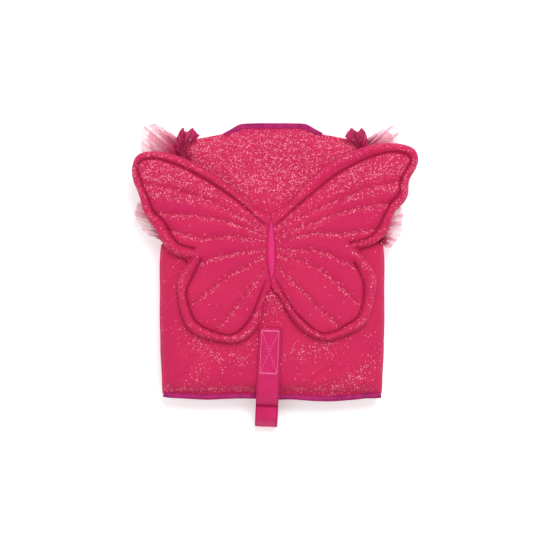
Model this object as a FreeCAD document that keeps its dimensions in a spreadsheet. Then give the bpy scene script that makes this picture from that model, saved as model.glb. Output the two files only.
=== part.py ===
import FreeCAD, Part
import math
import os

# A small child's float vest with stuffed butterfly wings on its back, lying on its front.
# +Z points out of the back, +Y points at the neck, and the vest's half width is counted
# outwards from the spine, so a left piece and a right piece share one list of corners.

os.makedirs("parts", exist_ok=True)
doc = FreeCAD.newDocument("WingedFloatVest")
sheet = doc.addObject("Spreadsheet::Sheet", "Dimensions")

driving_sizes = [
    ("spine_x", -3.5),            # the vest's centre line, left of the box centre
    ("shell_wall", 1.4),          # outer cloth
    ("lining_wall", 1.2),         # inner cloth
    ("fit_gap", 0.1),             # between layers sewn into one panel
    ("front_depth", 13.6),        # outer cloth of a chest panel, from the ground up
    ("torso_gap", 13.1),          # between the front lining and the back lining
    ("back_depth", 16.0),         # outer cloth of the back over its foam
    ("neck_half", 58.0),
    ("neck_end_y", 170.5),
    ("neck_top_y", 180.4),
    ("shoulder_half", 109.7),
    ("shoulder_y", 161.0),
    ("waist_half", 134.2),
    ("hem_half", 131.0),
    ("underarm_y", 38.0),
    ("hem_y", -144.5),
    ("fold_top_half", 58.5),      # the sewn fold line of a chest panel
    ("fold_bottom_half", 108.5),
    ("fold_clearance", 2.2),
    ("zip_edge_half", 9.0),       # where the chest cloth stops beside the zip
    ("tape_half", 5.2),
    ("tape_width", 13.8),
    ("tape_wall", 1.0),
    ("tooth_reach", 2.0),
    ("tooth_pitch", 4.0),
    ("tooth_length", 2.2),
    ("tooth_height", 3.0),
    ("zip_bottom_y", -139.0),
    ("zip_top_y", 130.0),
    ("binding_wall", 1.1),
    ("binding_width", 7.0),
    ("wing_lift", 0.7),           # air between the back and the wings
    ("wing_height", 12.4),
    ("wing_wall", 1.2),
    ("wing_backing", 1.0),
    ("wing_root_height", 2.2),
    ("wing_slope_run", 26.0),
    ("wing_spine_x", -4.9),
    ("wing_root_half", 7.5),
    ("webbing_width", 25.4),
    ("webbing_wall", 1.6),
    ("strap_top_y", -63.5),
    ("strap_lean", -2.6),         # degrees, the strap leans to the left as it goes down
    ("strap_x", -5.4),
    ("ribbon_half", 4.8),
    ("ribbon_top_y", 65.9),
    ("ribbon_bottom_y", -7.0),
    ("ribbon_height", 2.0),
    ("ruffle_wall", 7.0),
    ("plug_width", 33.0),
    ("plug_height", 9.0),
    ("plug_length", 14.0),
    ("prong_length", 21.0),
    ("prong_wall", 3.2),
    ("socket_length", 33.0),
    ("socket_height", 10.2),
    ("socket_wall", 1.7),
]
for row, (alias, value) in enumerate(driving_sizes, start=1):
    sheet.set("A%d" % row, alias)
    sheet.set("B%d" % row, str(value))
    sheet.setAlias("B%d" % row, alias)

# heights above the ground that follow from the layers
derived_sizes = [
    ("front_flange_z", "=front_depth - shell_wall"),
    ("front_lining_z", "=front_depth + fit_gap"),
    ("front_top_z", "=front_depth + fit_gap + lining_wall"),
    ("back_lining_z", "=front_depth + fit_gap + lining_wall + torso_gap"),
    ("back_shell_z", "=back_lining_z + lining_wall + fit_gap"),
    ("back_top_z", "=back_shell_z + back_depth"),
    ("wing_z", "=back_top_z + wing_lift"),
    ("side_wall_height", "=back_lining_z - fit_gap - front_flange_z"),
]
for row, (alias, formula) in enumerate(derived_sizes, start=len(driving_sizes) + 1):
    sheet.set("A%d" % row, alias)
    sheet.setAlias("B%d" % row, alias)
    sheet.set("B%d" % row, formula)
doc.recompute()


def size(alias):
    return float(sheet.get(alias))


def vec(point, z=0.0):
    return FreeCAD.Vector(point[0], point[1], z)


sub_parts = []


def keep(label, thing):
    thing.Label = label
    sub_parts.append(thing)
    return thing


# ---- outlines ----

def mirrored(points, side):
    # points are counted outwards from the spine; side is -1 for left, 1 for right
    return [(size("spine_x") + side * across, along) for across, along in points]


def smooth(points):
    curve = Part.BSplineCurve()
    curve.interpolate([vec(p) for p in points])
    return curve


def outline(*runs):
    # each run starts where the last one ended: two points are straight, more are a curve
    geometry = []
    for run in runs:
        if len(run) == 2:
            geometry.append(Part.LineSegment(vec(run[0]), vec(run[1])))
        else:
            geometry.append(smooth(run))
    return geometry


def rounded_polygon(corners, radius, grow=0.0):
    # corners run anticlockwise, and grow moves every side outwards
    count = len(corners)
    area = sum(corners[i - 1][0] * corners[i][1] - corners[i][0] * corners[i - 1][1] for i in range(count))
    if area < 0:
        corners = corners[::-1]
    sides = []
    for i in range(count):
        start = vec(corners[i])
        along = (vec(corners[(i + 1) % count]) - start).normalize()
        outward = FreeCAD.Vector(along.y, -along.x, 0)
        sides.append((start + outward * grow, along))
    points = []
    for i in range(count):
        (p, d), (q, e) = sides[i - 1], sides[i]
        step = ((q - p).x * e.y - (q - p).y * e.x) / (d.x * e.y - d.y * e.x)
        points.append(p + d * step)
    geometry = []
    starts = []
    ends = []
    mids = []
    for i in range(count):
        here = points[i]
        to_last = (points[i - 1] - here).normalize()
        to_next = (points[(i + 1) % count] - here).normalize()
        turn = sides[i - 1][1].cross(sides[i][1]).z
        bend = radius + grow if turn > 0 else max(radius - grow, 0.5)
        half = to_last.getAngle(to_next) / 2
        inward = (to_last + to_next).normalize()
        starts.append(here + to_last * (bend / math.tan(half)))
        ends.append(here + to_next * (bend / math.tan(half)))
        mids.append(here + inward * (bend / math.sin(half) - bend))
    for i in range(count):
        geometry.append(Part.Arc(starts[i], mids[i], ends[i]))
        geometry.append(Part.LineSegment(ends[i], starts[(i + 1) % count]))
    return geometry


# ---- features ----

def new_body(label):
    body = doc.addObject("PartDesign::Body", label)
    return keep(label, body)


def sketch_on(body, name, geometry, height, role="XY_Plane"):
    sketch = body.newObject("Sketcher::SketchObject", name)
    plane = [item for item in body.Origin.OriginFeatures if item.Role == role][0]
    sketch.AttachmentSupport = [(plane, "")]
    sketch.MapMode = "FlatFace"
    sketch.addGeometry(geometry, False)
    sketch.setExpression("AttachmentOffset.Base.z", height)
    return sketch


def pad(body, geometry, height, length, name="Outline"):
    feature = body.newObject("PartDesign::Pad", name + "Pad")
    feature.Profile = sketch_on(body, name, geometry, height)
    feature.setExpression("Length", length)
    doc.recompute()
    return feature


def pocket(body, geometry, height, length, upwards=False, name="Hollow"):
    before = body.Shape.Volume
    feature = body.newObject("PartDesign::Pocket", name + "Pocket")
    feature.Profile = sketch_on(body, name, geometry, height)
    feature.setExpression("Length", length)
    feature.Reversed = upwards
    doc.recompute()
    if body.Shape.Volume >= before:
        raise RuntimeError(body.Label + ": the pocket cuts nothing")
    return feature


def box(name, corner, extent):
    # corner and extent are numbers or formulas of the sheet
    solid = doc.addObject("Part::Box", name)
    for prop, value in zip(("Length", "Width", "Height"), extent):
        solid.setExpression(prop, str(value))
    for prop, value in zip("xyz", corner):
        solid.setExpression("Placement.Base." + prop, str(value))
    return solid


def cut(name, base, tool):
    result = doc.addObject("Part::Cut", name)
    result.Base = base
    result.Tool = tool
    return result


def fuse(name, solids):
    result = doc.addObject("Part::MultiFuse", name)
    result.Shapes = solids
    return result


D = "Dimensions."

# ---- the vest's outlines, counted outwards from the spine ----

armhole = [(size("shoulder_half"), size("shoulder_y")), (101.5, 132), (98, 100), (106, 66),
           (size("waist_half") - 0.7, size("underarm_y"))]
side_edge = [armhole[-1], (size("waist_half"), -50), (size("hem_half"), size("hem_y"))]
neck_end = (size("neck_half"), size("neck_end_y"))
neck_rise = (42, size("neck_top_y") - 1.5)
hem_corner = (size("hem_half"), size("hem_y"))


def whole_outline():
    left = -1
    right = 1
    neck = mirrored([neck_end, neck_rise], right) + mirrored([(0, size("neck_top_y"))], right)
    neck = neck + mirrored([neck_rise, neck_end], left)
    return outline(
        neck,
        mirrored([neck_end, armhole[0]], left),
        mirrored(armhole, left),
        mirrored(side_edge, left),
        mirrored([hem_corner, (60, size("hem_y") - 1.0), (0, size("hem_y"))], left)
        + mirrored([(60, size("hem_y") - 2.0), hem_corner], right),
        mirrored(side_edge[::-1], right),
        mirrored(armhole[::-1], right),
        mirrored([armhole[0], neck_end], right),
    )


back_foam_half = [(122, -134), (124, 26), (90, 62), (86, 138), (50, 156)]
back_foam_corners = mirrored(back_foam_half, 1) + mirrored(back_foam_half[::-1], -1)

# ---- back panel: outer cloth, foam, lining ----

back_shell = new_body("back_shell")
pad(back_shell, whole_outline(), D + "back_shell_z", D + "shell_wall", "Cloth")
foam_skin = size("shell_wall") + size("fit_gap")
pad(back_shell, rounded_polygon(back_foam_corners, 14, foam_skin), D + "back_shell_z", D + "back_depth", "Crown")
pocket(back_shell, rounded_polygon(back_foam_corners, 14, size("fit_gap")), D + "back_shell_z",
       D + "back_depth - " + D + "shell_wall", upwards=True)

back_foam = new_body("back_foam")
pad(back_foam, rounded_polygon(back_foam_corners, 14), D + "back_shell_z",
    D + "back_depth - " + D + "shell_wall - " + D + "fit_gap")

back_lining = new_body("back_lining")
pad(back_lining, whole_outline(), D + "back_lining_z", D + "lining_wall")

# ---- bindings: tape folded over an edge of two cloths ----


def binding(label, outer, inner, cloth_z, cloth_height):
    # outer is the curve of the fold and inner the curve of the tape's two free edges
    wall = size("binding_wall")
    reach = (vec(outer[0]) - vec(inner[0])).normalize() * wall
    slot_outer = [(x - reach.x, y - reach.y) for x, y in outer]
    slot_inner = [(x - reach.x * 2, y - reach.y * 2) for x, y in inner]

    def ring(far, near):
        return outline(far, [far[-1], near[-1]], near[::-1], [near[0], far[0]])

    def past_ends(points):
        first = vec(points[0]) + (vec(points[0]) - vec(points[1])).normalize() * wall
        last = vec(points[-1]) + (vec(points[-1]) - vec(points[-2])).normalize() * wall
        return [(first.x, first.y)] + points[1:-1] + [(last.x, last.y)]

    body = new_body(label)
    pad(body, ring(outer, inner), cloth_z + " - " + D + "binding_wall - " + D + "fit_gap",
        cloth_height + " + 2 * " + D + "binding_wall + 2 * " + D + "fit_gap", "Tape")
    pocket(body, ring(past_ends(slot_outer), past_ends(slot_inner)), cloth_z + " - " + D + "fit_gap",
           cloth_height + " + 2 * " + D + "fit_gap", upwards=True, name="Fold")
    return body


def shifted(points, dy):
    return [(x, y + dy) for x, y in points]


sandwich = "(" + D + "shell_wall + " + D + "lining_wall + " + D + "fit_gap)"
tape_overlap = size("binding_width") - size("binding_wall") - size("fit_gap")

neck_curve = mirrored([neck_end, neck_rise], 1) + mirrored([(0, size("neck_top_y"))], 1)
neck_curve = neck_curve + mirrored([neck_rise, neck_end], -1)
fold_room = size("binding_wall") + size("fit_gap")
binding("neck_binding", shifted(neck_curve, fold_room + 0.4), shifted(neck_curve, -tape_overlap + 1.5),
        D + "back_lining_z", sandwich)

hem_stop = (size("hem_half") - 2.2, size("hem_y"))
hem_curve = mirrored([hem_stop, (60, size("hem_y") - 1.0), (0, size("hem_y"))], -1)
hem_curve = hem_curve + mirrored([(60, size("hem_y") - 2.0), hem_stop], 1)
binding("back_hem_binding", shifted(hem_curve, -fold_room - 0.4), shifted(hem_curve, tape_overlap - 1.0),
        D + "back_lining_z", sandwich)

# ---- side panels: cloth from the back round the side and over the shoulder to the chest ----

fold_top = (size("fold_top_half"), 171.0)
fold_bottom = (size("fold_bottom_half"), -149.0)
fold_run = (vec(fold_top) - vec(fold_bottom)).normalize()
fold_out = FreeCAD.Vector(fold_run.y, -fold_run.x, 0)


def fold_point(along_y, out):
    # a point beside the fold line, out millimetres outwards from it
    share = (along_y - fold_bottom[1]) / (fold_top[1] - fold_bottom[1])
    across = fold_bottom[0] + share * (fold_top[0] - fold_bottom[0])
    return (across + out / fold_run.y, along_y)


def beside(point, away):
    return (point[0] - away, point[1])


seam_wall = 1.6

for side, word in ((-1, "left"), (1, "right")):
    clear = size("fold_clearance")
    shoulder_in = (fold_point(167.8, clear)[0], 167.8)
    shoulder_out = (size("shoulder_half"), size("shoulder_y") - 1.5)
    arm = [shoulder_out] + armhole[1:]
    panel = new_body(word + "_side_panel")
    geometry = outline(
        mirrored([fold_point(size("hem_y") + 0.8, clear), shoulder_in], side),
        mirrored([shoulder_in, shoulder_out], side),
        mirrored(arm, side),
        mirrored(side_edge, side),
        mirrored([hem_corner, fold_point(size("hem_y") + 0.8, clear)], side),
    )
    pad(panel, geometry, D + "front_flange_z", D + "front_top_z - " + D + "front_flange_z", "Cloth")
    inner_edge = [beside(p, seam_wall) for p in side_edge]
    side_strip = outline(
        mirrored(side_edge, side),
        mirrored([side_edge[-1], inner_edge[-1]], side),
        mirrored(inner_edge[::-1], side),
        mirrored([inner_edge[0], side_edge[0]], side),
    )
    pad(panel, side_strip, D + "front_flange_z", D + "side_wall_height", "SideFold")
    lowered = [(shoulder_in[0], shoulder_in[1] - seam_wall), (shoulder_out[0], shoulder_out[1] - seam_wall)]
    shoulder_strip = outline(
        mirrored([shoulder_in, shoulder_out], side),
        mirrored([shoulder_out, lowered[1]], side),
        mirrored(lowered[::-1], side),
        mirrored([lowered[0], shoulder_in], side),
    )
    pad(panel, shoulder_strip, D + "front_flange_z", D + "side_wall_height", "ShoulderSeam")


# ---- armhole bindings ----

for side, word in ((-1, "left"), (1, "right")):
    edge = mirrored(armhole, side)
    outer = [(x + side * (fold_room + 0.5), y) for x, y in edge]
    inner = [(x - side * tape_overlap * 0.6, y) for x, y in edge]
    outer = [(outer[0][0], outer[0][1] - 3.0)] + outer[1:-1] + [(outer[-1][0], outer[-1][1] + 3.5)]
    inner = [(inner[0][0], inner[0][1] - 3.0)] + inner[1:-1] + [(inner[-1][0], inner[-1][1] + 3.5)]
    binding(word + "_armhole_binding", outer, inner, D + "back_lining_z", sandwich)

# ---- chest panels, the fold line on their outer side and the zip on their inner side ----

chest_foam_half = [(22, 105), (22, -84), (53, -84), (53, -136), (98.5, -136), (60.8, 105)]
zip_edge = size("zip_edge_half")
neck_front = [(54.5, 167.5), (41, 151), (24, 142), (zip_edge, 139)]


def chest_outline(side):
    fold_in = -size("fold_clearance")
    return outline(
        mirrored(neck_front, side),
        mirrored([neck_front[-1], (zip_edge, size("hem_y"))], side),
        mirrored([(zip_edge, size("hem_y")), fold_point(size("hem_y"), fold_in)], side),
        mirrored([fold_point(size("hem_y"), fold_in), neck_front[0]], side),
    )


for side, word in ((-1, "left"), (1, "right")):
    foam_corners = mirrored(chest_foam_half, side)
    shell = new_body("front_" + word + "_shell")
    pad(shell, chest_outline(side), D + "front_flange_z", D + "shell_wall", "Cloth")
    pad(shell, rounded_polygon(foam_corners, 9, foam_skin), "0", D + "front_depth", "Crown")
    pocket(shell, rounded_polygon(foam_corners, 9, size("fit_gap")), D + "front_depth",
           D + "front_depth - " + D + "shell_wall")
    foam = new_body("front_" + word + "_foam")
    pad(foam, rounded_polygon(foam_corners, 9), D + "shell_wall + " + D + "fit_gap",
        D + "front_depth - " + D + "shell_wall - " + D + "fit_gap")
    lining = new_body("front_" + word + "_lining")
    pad(lining, chest_outline(side), D + "front_lining_z", D + "lining_wall")

    hem_ends = [(zip_edge + 0.5, size("hem_y")), (58, size("hem_y")), (fold_point(size("hem_y"), -4.5)[0], size("hem_y"))]
    front_hem = mirrored(hem_ends, side)
    binding("front_" + word + "_hem_binding", shifted(front_hem, -fold_room - 0.2),
            shifted(front_hem, tape_overlap - 1.0), D + "front_flange_z", sandwich)
    top_ends = [(52.5, 164.6), (41, 151), (24, 142), (zip_edge + 0.5, 139.1)]
    front_neck = mirrored(top_ends, side)
    binding("front_" + word + "_neck_binding", shifted(front_neck, fold_room + 0.6),
            shifted(front_neck, -tape_overlap + 1.5), D + "front_flange_z", sandwich)

    inner_x = "(" + D + "spine_x + %d * " % side + D + "tape_half)"
    tape = box("front_" + word + "_zip_tape",
               (inner_x + (" - " + D + "tape_width" if side < 0 else ""), D + "zip_bottom_y",
                D + "front_flange_z - " + D + "fit_gap - " + D + "tape_wall"),
               (D + "tape_width", D + "zip_top_y - " + D + "zip_bottom_y", D + "tape_wall"))
    keep("front_" + word + "_zip_tape", tape)

    # the teeth of a side sit half a pitch from the teeth of the other side
    teeth = []
    tape_mid_z = size("front_flange_z") - size("fit_gap") - size("tape_wall") / 2
    run = size("zip_top_y") - size("zip_bottom_y") - 12
    for number in range(int(run / size("tooth_pitch"))):
        along = size("zip_bottom_y") + 8 + (number + 0.25 * (1 + side)) * size("tooth_pitch")
        near = size("spine_x") + side * (size("tape_half") - size("tooth_reach") / 2)
        corner = FreeCAD.Vector(near - size("tooth_reach") / 2, along, tape_mid_z - size("tooth_height") / 2)
        teeth.append(Part.makeBox(size("tooth_reach"), size("tooth_length"), size("tooth_height"), corner))
    chain = doc.addObject("Part::Feature", "front_" + word + "_zip_teeth")
    chain.Shape = Part.makeCompound(teeth)
    chain.Placement = FreeCAD.Placement()
    keep("front_" + word + "_zip_teeth", chain)

# ---- zip slider and its pull, at the bottom of the left chain ----

slider_x = D + "spine_x - 2.6"
slider_bottom = size("zip_bottom_y") + 9.0
slider_length = 13.0
plate = 1.1
pin_along = slider_bottom + 5.7
teeth_low = "(" + D + "front_flange_z - " + D + "fit_gap - (" + D + "tape_wall + " + D + "tooth_height) / 2)"
pin_z = teeth_low + " - 3.4"


def crosswise_rod(name, radius, length, start):
    rod = doc.addObject("Part::Cylinder", name)
    rod.Radius = radius
    rod.Height = length
    rod.Placement = FreeCAD.Placement(FreeCAD.Vector(0, 0, 0), FreeCAD.Rotation(FreeCAD.Vector(0, 1, 0), 90))
    rod.setExpression("Placement.Base.x", slider_x + start)
    rod.setExpression("Placement.Base.y", str(pin_along))
    rod.setExpression("Placement.Base.z", pin_z)
    return rod


slider_parts = [
    box("SliderOuterPlate", (slider_x + " - 5", slider_bottom, teeth_low + " - 0.4 - 1.1"),
        (10, slider_length, plate)),
    box("SliderInnerPlate", (slider_x + " - 5", slider_bottom, teeth_low + " + 0.4 + " + D + "tooth_height"),
        (10, slider_length, plate)),
    box("SliderPost", (slider_x + " + 1.2", slider_bottom + 6, teeth_low + " - 0.5"),
        (1.2, 6, D + "tooth_height + 1")),
    box("SliderLugLeft", (slider_x + " - 2.4", pin_along - 1.7, pin_z + " - 1.2"), (1.2, 3.4, 3.6)),
    box("SliderLugRight", (slider_x + " + 1.2", pin_along - 1.7, pin_z + " - 1.2"), (1.2, 3.4, 3.6)),
    crosswise_rod("SliderPin", 0.7, 4.8, " - 2.4"),
]
keep("zip_slider", fuse("zip_slider", slider_parts))

pull_parts = [
    box("PullPlate", (slider_x + " - 3.2", pin_along + 2.5, pin_z + " - 0.7"), (6.4, 22.2, 1.4)),
    box("PullNeck", (slider_x + " - 0.9", pin_along, pin_z + " - 0.7"), (1.8, 3, 1.4)),
    crosswise_rod("PullEye", 1.6, 1.8, " - 0.9"),
]
pin_hole = crosswise_rod("PullPinHole", 0.8, 8, " - 4")
keep("zip_pull", cut("zip_pull", fuse("PullBlank", pull_parts), pin_hole))

# ---- wings: stuffed cloth over a flat backing, each folding up at its root ----

wing_left_upper = [(-10.9, 69.5), (-17, 74.5), (-65, 115.5), (-96, 134), (-125, 145.5), (-149, 148.4),
                   (-166, 143), (-171.4, 129), (-170, 113), (-163.5, 97), (-156, 72.5), (-145, 57),
                   (-135, 39), (-127, 29.5), (-99, 19.8)]
wing_left_lower = [(-99, 19.8), (-110, 7), (-117, -8), (-116, -27), (-112.5, -46), (-106, -61),
                   (-92, -72.5), (-68, -79.5), (-47, -81.6), (-31, -74.5), (-20.5, -62), (-14, -40),
                   (-10.9, -27)]
wing_right_upper = [(1.1, 71.5), (16.5, 87.5), (34, 107.5), (49, 122), (70, 137.5), (94, 149.3),
                    (113, 155.5), (135, 158.6), (154, 156.5), (168, 150), (171.9, 138), (167, 124),
                    (160.8, 113), (159.5, 97), (152, 84), (142.5, 74), (139, 62), (133, 49), (123, 40),
                    (96.5, 31.5)]
wing_right_lower = [(96.5, 31.5), (112, 15), (121.5, -4), (119.5, -24.5), (115, -46), (106.5, -61.5),
                    (88, -71), (63, -78.6), (42, -72.5), (21, -54), (8.5, -33), (1.1, -19.5)]


def set_in(loop, distance):
    # every point of a closed anticlockwise or clockwise loop, moved inwards by the distance
    area = sum(loop[i - 1][0] * loop[i][1] - loop[i][0] * loop[i - 1][1] for i in range(len(loop)))
    sign = 1 if area > 0 else -1
    moved = []
    for i, point in enumerate(loop):
        arriving = (vec(point) - vec(loop[i - 1])).normalize()
        leaving = (vec(loop[(i + 1) % len(loop)]) - vec(point)).normalize()
        inward = FreeCAD.Vector(-(arriving + leaving).y, (arriving + leaving).x, 0).normalize() * sign
        mitre = max(abs(inward.x * -arriving.y + inward.y * arriving.x), 0.6)
        place = vec(point) + inward * (distance / mitre)
        moved.append((place.x, place.y))
    return moved


def wing_outline(upper, lower, inset):
    # the upper lobe ends in the notch where the lower lobe starts
    loop = set_in(upper + lower[1:], inset)
    notch = len(upper) - 1
    return outline(loop[:notch + 1], loop[notch:], [loop[-1], loop[0]])


def wing_piece(name, lobes, inset, low, high, slope_drop, side):
    # the outline set in by the cloth's thickness, extruded, and sliced thin towards the root
    profile = doc.addObject("Sketcher::SketchObject", name + "Outline")
    profile.addGeometry(wing_outline(lobes[0], lobes[1], inset), False)
    solid = doc.addObject("Part::Extrusion", name + "Block")
    solid.Base = profile
    solid.DirMode = "Custom"
    solid.Dir = FreeCAD.Vector(0, 0, 1)
    solid.Solid = True
    solid.setExpression("LengthFwd", high + " - (" + low + ")")
    solid.setExpression("Placement.Base.z", low)
    root_x = size("wing_spine_x") + side * size("wing_root_half")
    rise = size("wing_height") - size("wing_root_height")
    top = size("wing_z") + size("wing_height") - slope_drop
    far_x = root_x + side * size("wing_slope_run")
    slice_points = [(root_x - side * 3, top - rise * (1 + 3 / size("wing_slope_run"))), (far_x, top),
                    (far_x, top + 6), (root_x - side * 3, top + 6)]
    corners = [FreeCAD.Vector(x, -100, z) for x, z in slice_points]
    slice_face = Part.Face(Part.makePolygon(corners + corners[:1]))
    wedge = doc.addObject("Part::Feature", name + "RootSlope")
    wedge.Shape = slice_face.extrude(FreeCAD.Vector(0, 300, 0))
    return cut(name, solid, wedge)


wing_shapes = ((-1, "left", wing_left_upper, wing_left_lower), (1, "right", wing_right_upper, wing_right_lower))
for side, word, upper, lower in wing_shapes:
    lobes = (upper, lower)
    wall = size("wing_wall")
    cover_low = D + "wing_z + " + D + "wing_backing + " + D + "fit_gap"
    cover_high = D + "wing_z + " + D + "wing_height"
    cover = wing_piece(word + "WingCover", lobes, 0, cover_low, cover_high, 0.0, side)
    hollow = wing_piece(word + "WingHollow", lobes, wall, cover_low, cover_high + " - " + D + "wing_wall",
                        wall, side)
    keep("wing_" + word + "_cover", cut("wing_" + word + "_cover", cover, hollow))
    keep("wing_" + word + "_padding",
         wing_piece(word + "WingPadding", lobes, wall + size("fit_gap"), cover_low,
                    cover_high + " - " + D + "wing_wall - " + D + "fit_gap", wall + size("fit_gap"), side))
    keep("wing_" + word + "_backing",
         wing_piece(word + "WingBacking", lobes, 0, D + "wing_z", D + "wing_z + " + D + "wing_backing",
                    0.0, side))

# ---- the seam strip between the wings and the ribbon sewn over it ----

seam_half = 4.6
seam = box("wing_seam_strip", (D + "wing_spine_x - %.1f" % seam_half, -17.0, D + "back_top_z"),
           (2 * seam_half, 87.0, D + "wing_lift + " + D + "wing_root_height"))
keep("wing_seam_strip", seam)

ribbon = new_body("body_ribbon")
ribbon_x = size("wing_spine_x")
ribbon_top = (ribbon_x, size("ribbon_top_y"))
ribbon_bottom = (ribbon_x + 0.8, size("ribbon_bottom_y"))
ribbon_right = (ribbon_x + size("ribbon_half"), (size("ribbon_top_y") + size("ribbon_bottom_y")) / 2 - 2)
ribbon_left = (ribbon_x - size("ribbon_half"), ribbon_right[1])
pad(ribbon, [Part.Arc(vec(ribbon_top), vec(ribbon_left), vec(ribbon_bottom)),
             Part.Arc(vec(ribbon_bottom), vec(ribbon_right), vec(ribbon_top))],
    D + "wing_z + " + D + "wing_root_height", D + "ribbon_height")

# ---- ruffles at the armholes, two gathered layers a side ----

ruffle_inner = [(across + 3.4, along) for across, along in armhole]
ruffle_inner[0] = (size("shoulder_half") + 3.4, 164.0)
ruffle_inner[-1] = (size("waist_half") + 2.5, 43.0)
ruffle_outer = [(156, 38), (161, 72), (150, 110), (148, 150), (150, 178), (128, 176),
                ruffle_inner[0]]
for side, word in ((-1, "left"), (1, "right")):
    rim = outline(
        mirrored(ruffle_inner, side),
        mirrored([ruffle_inner[-1], ruffle_outer[0]], side),
        mirrored(ruffle_outer, side),
    )
    under = new_body(word + "_ruffle_under")
    pad(under, rim, D + "back_shell_z - 3", D + "ruffle_wall")
    over = new_body(word + "_ruffle_over")
    pad(over, rim, D + "back_shell_z - 3 + " + D + "ruffle_wall + " + D + "fit_gap", D + "ruffle_wall")

# ---- the webbing strap: sewn to the back, over the hem, round in a loop and in under the back ----

webbing_mid = size("back_top_z") + 0.1 + size("webbing_wall") / 2
inner_run_z = size("front_top_z") + 6.0
strap_route = [(0, webbing_mid), (-74, webbing_mid), (-88.5, webbing_mid - 9), (-93.5, 23.0),
               (-102, 29.0), (-113, 25.5), (-119.3, 13.5), (-112, 2.6), (-99, 2.4),
               (-92.5, 15.5), (-83, inner_run_z), (58, inner_run_z)]
strap_bends = [9, 9, 3.2, 5.5, 7, 9, 7, 5, 6, 8]


def tangent_path(points, bends):
    # straight runs joined by tangent arcs, in the plane across the strap's width
    places = [FreeCAD.Vector(-size("webbing_width") / 2, y, z) for y, z in points]
    edges = []
    last = places[0]
    for i in range(1, len(places) - 1):
        here = places[i]
        back = (places[i - 1] - here).normalize()
        ahead = (places[i + 1] - here).normalize()
        half = back.getAngle(ahead) / 2
        reach = bends[i - 1] / math.tan(half)
        middle = (back + ahead).normalize()
        start = here + back * reach
        end = here + ahead * reach
        top = here + middle * (bends[i - 1] / math.sin(half) - bends[i - 1])
        if (start - last).dot(here - last) <= 0 or (start - last).Length < 0.01:
            raise RuntimeError("strap bend %d does not fit" % i)
        edges.append(Part.makeLine(last, start))
        edges.append(Part.Arc(start, top, end).toShape())
        last = end
    edges.append(Part.makeLine(last, places[-1]))
    return Part.Wire(edges)


def offset_side(wire, distance):
    return wire.makeOffset2D(distance, 0, False, True, False)


route = tangent_path(strap_route, strap_bends)
half_wall = size("webbing_wall") / 2
upper_side = offset_side(route, half_wall)
lower_side = offset_side(route, -half_wall)
up_ends = upper_side.OrderedVertexes
down_ends = lower_side.OrderedVertexes
cap_a = Part.makeLine(up_ends[0].Point, down_ends[0].Point)
cap_b = Part.makeLine(up_ends[-1].Point, down_ends[-1].Point)
loop_edges = upper_side.Edges + [cap_b] + lower_side.Edges + [cap_a]
strap_face = Part.Face(Part.Wire(Part.__sortEdges__(loop_edges)))
print("strap length", round(route.Length, 1), "section", round(strap_face.Area, 1))

strap_place = FreeCAD.Placement(FreeCAD.Vector(size("strap_x"), size("strap_top_y"), 0),
                                FreeCAD.Rotation(FreeCAD.Vector(0, 0, 1), size("strap_lean")))
strap = doc.addObject("Part::Feature", "crotch_strap")
strap.Shape = strap_face.extrude(FreeCAD.Vector(size("webbing_width"), 0, 0))
strap.Placement = strap_place
keep("crotch_strap", strap)

# ---- box and cross stitching that holds the strap to the back ----

thread = 0.8
thread_low = size("back_top_z") + 0.1 + size("webbing_wall")
frame_half = size("webbing_width") / 2 - 2.6
frame_top = -4.0
frame_bottom = -55.0


def thread_row(start, end, wide=thread):
    run = vec(end) - vec(start)
    across = FreeCAD.Vector(-run.y, run.x, 0).normalize() * (wide / 2)
    low_start = vec(start, thread_low)
    low_end = vec(end, thread_low)
    corners = [low_start + across, low_start - across, low_end - across, low_end + across]
    face = Part.Face(Part.makePolygon(corners + corners[:1]))
    return face.extrude(FreeCAD.Vector(0, 0, 0.5))


frame_corners = [(-frame_half, frame_top), (frame_half, frame_top),
                 (frame_half, frame_bottom), (-frame_half, frame_bottom)]
rows = [thread_row(frame_corners[i - 1], frame_corners[i]) for i in range(4)]
rows.append(thread_row(frame_corners[0], frame_corners[2]))
rows.append(thread_row(frame_corners[1], frame_corners[3]))
rows.append(thread_row((-frame_half, frame_bottom + 1.5), (frame_half, frame_bottom + 1.5), 2.0))
rows.append(thread_row((-frame_half, frame_top), (frame_half, frame_top), 2.0))
stitching = rows[0].multiFuse(rows[1:]).removeSplitter()
box_stitching = doc.addObject("Part::Feature", "strap_stitching")
box_stitching.Shape = stitching
box_stitching.Placement = strap_place
keep("strap_stitching", box_stitching)

# ---- buckle plug on the strap's inner end, its two prongs, and the length adjuster ----


def on_strap(label, shape):
    piece = doc.addObject("Part::Feature", label)
    piece.Shape = shape
    piece.Placement = strap_place
    return keep(label, piece)


def block(width, y_low, y_high, z_low, z_high, x_mid=0.0):
    corner = FreeCAD.Vector(x_mid - width / 2, y_low, z_low)
    return Part.makeBox(width, y_high - y_low, z_high - z_low, corner)


plug_low = inner_run_z - size("plug_height") / 2
plug_high = inner_run_z + size("plug_height") / 2
plug_start = 45.0
plug_end = plug_start + size("plug_length")
plug = block(size("plug_width"), plug_start, plug_end, plug_low, plug_high)
plug = plug.makeFillet(1.5, [e for e in plug.Edges if abs(e.tangentAt(e.FirstParameter).y) > 0.9])
webbing_slot = block(size("webbing_width") + 0.6, plug_start - 1, plug_end + 1,
                     inner_run_z - 1.1, inner_run_z + 1.1)
guide = block(6.0, plug_end - 0.5, plug_end + size("prong_length") - 3, inner_run_z - 2.4, inner_run_z + 2.4)
end_wall = block(size("webbing_width") + 2, plug_end - 0.3, plug_end + 1.7, plug_low + 0.6, plug_high - 0.6)
on_strap("buckle_plug", plug.cut(webbing_slot).fuse([end_wall, guide]).removeSplitter())

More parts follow.
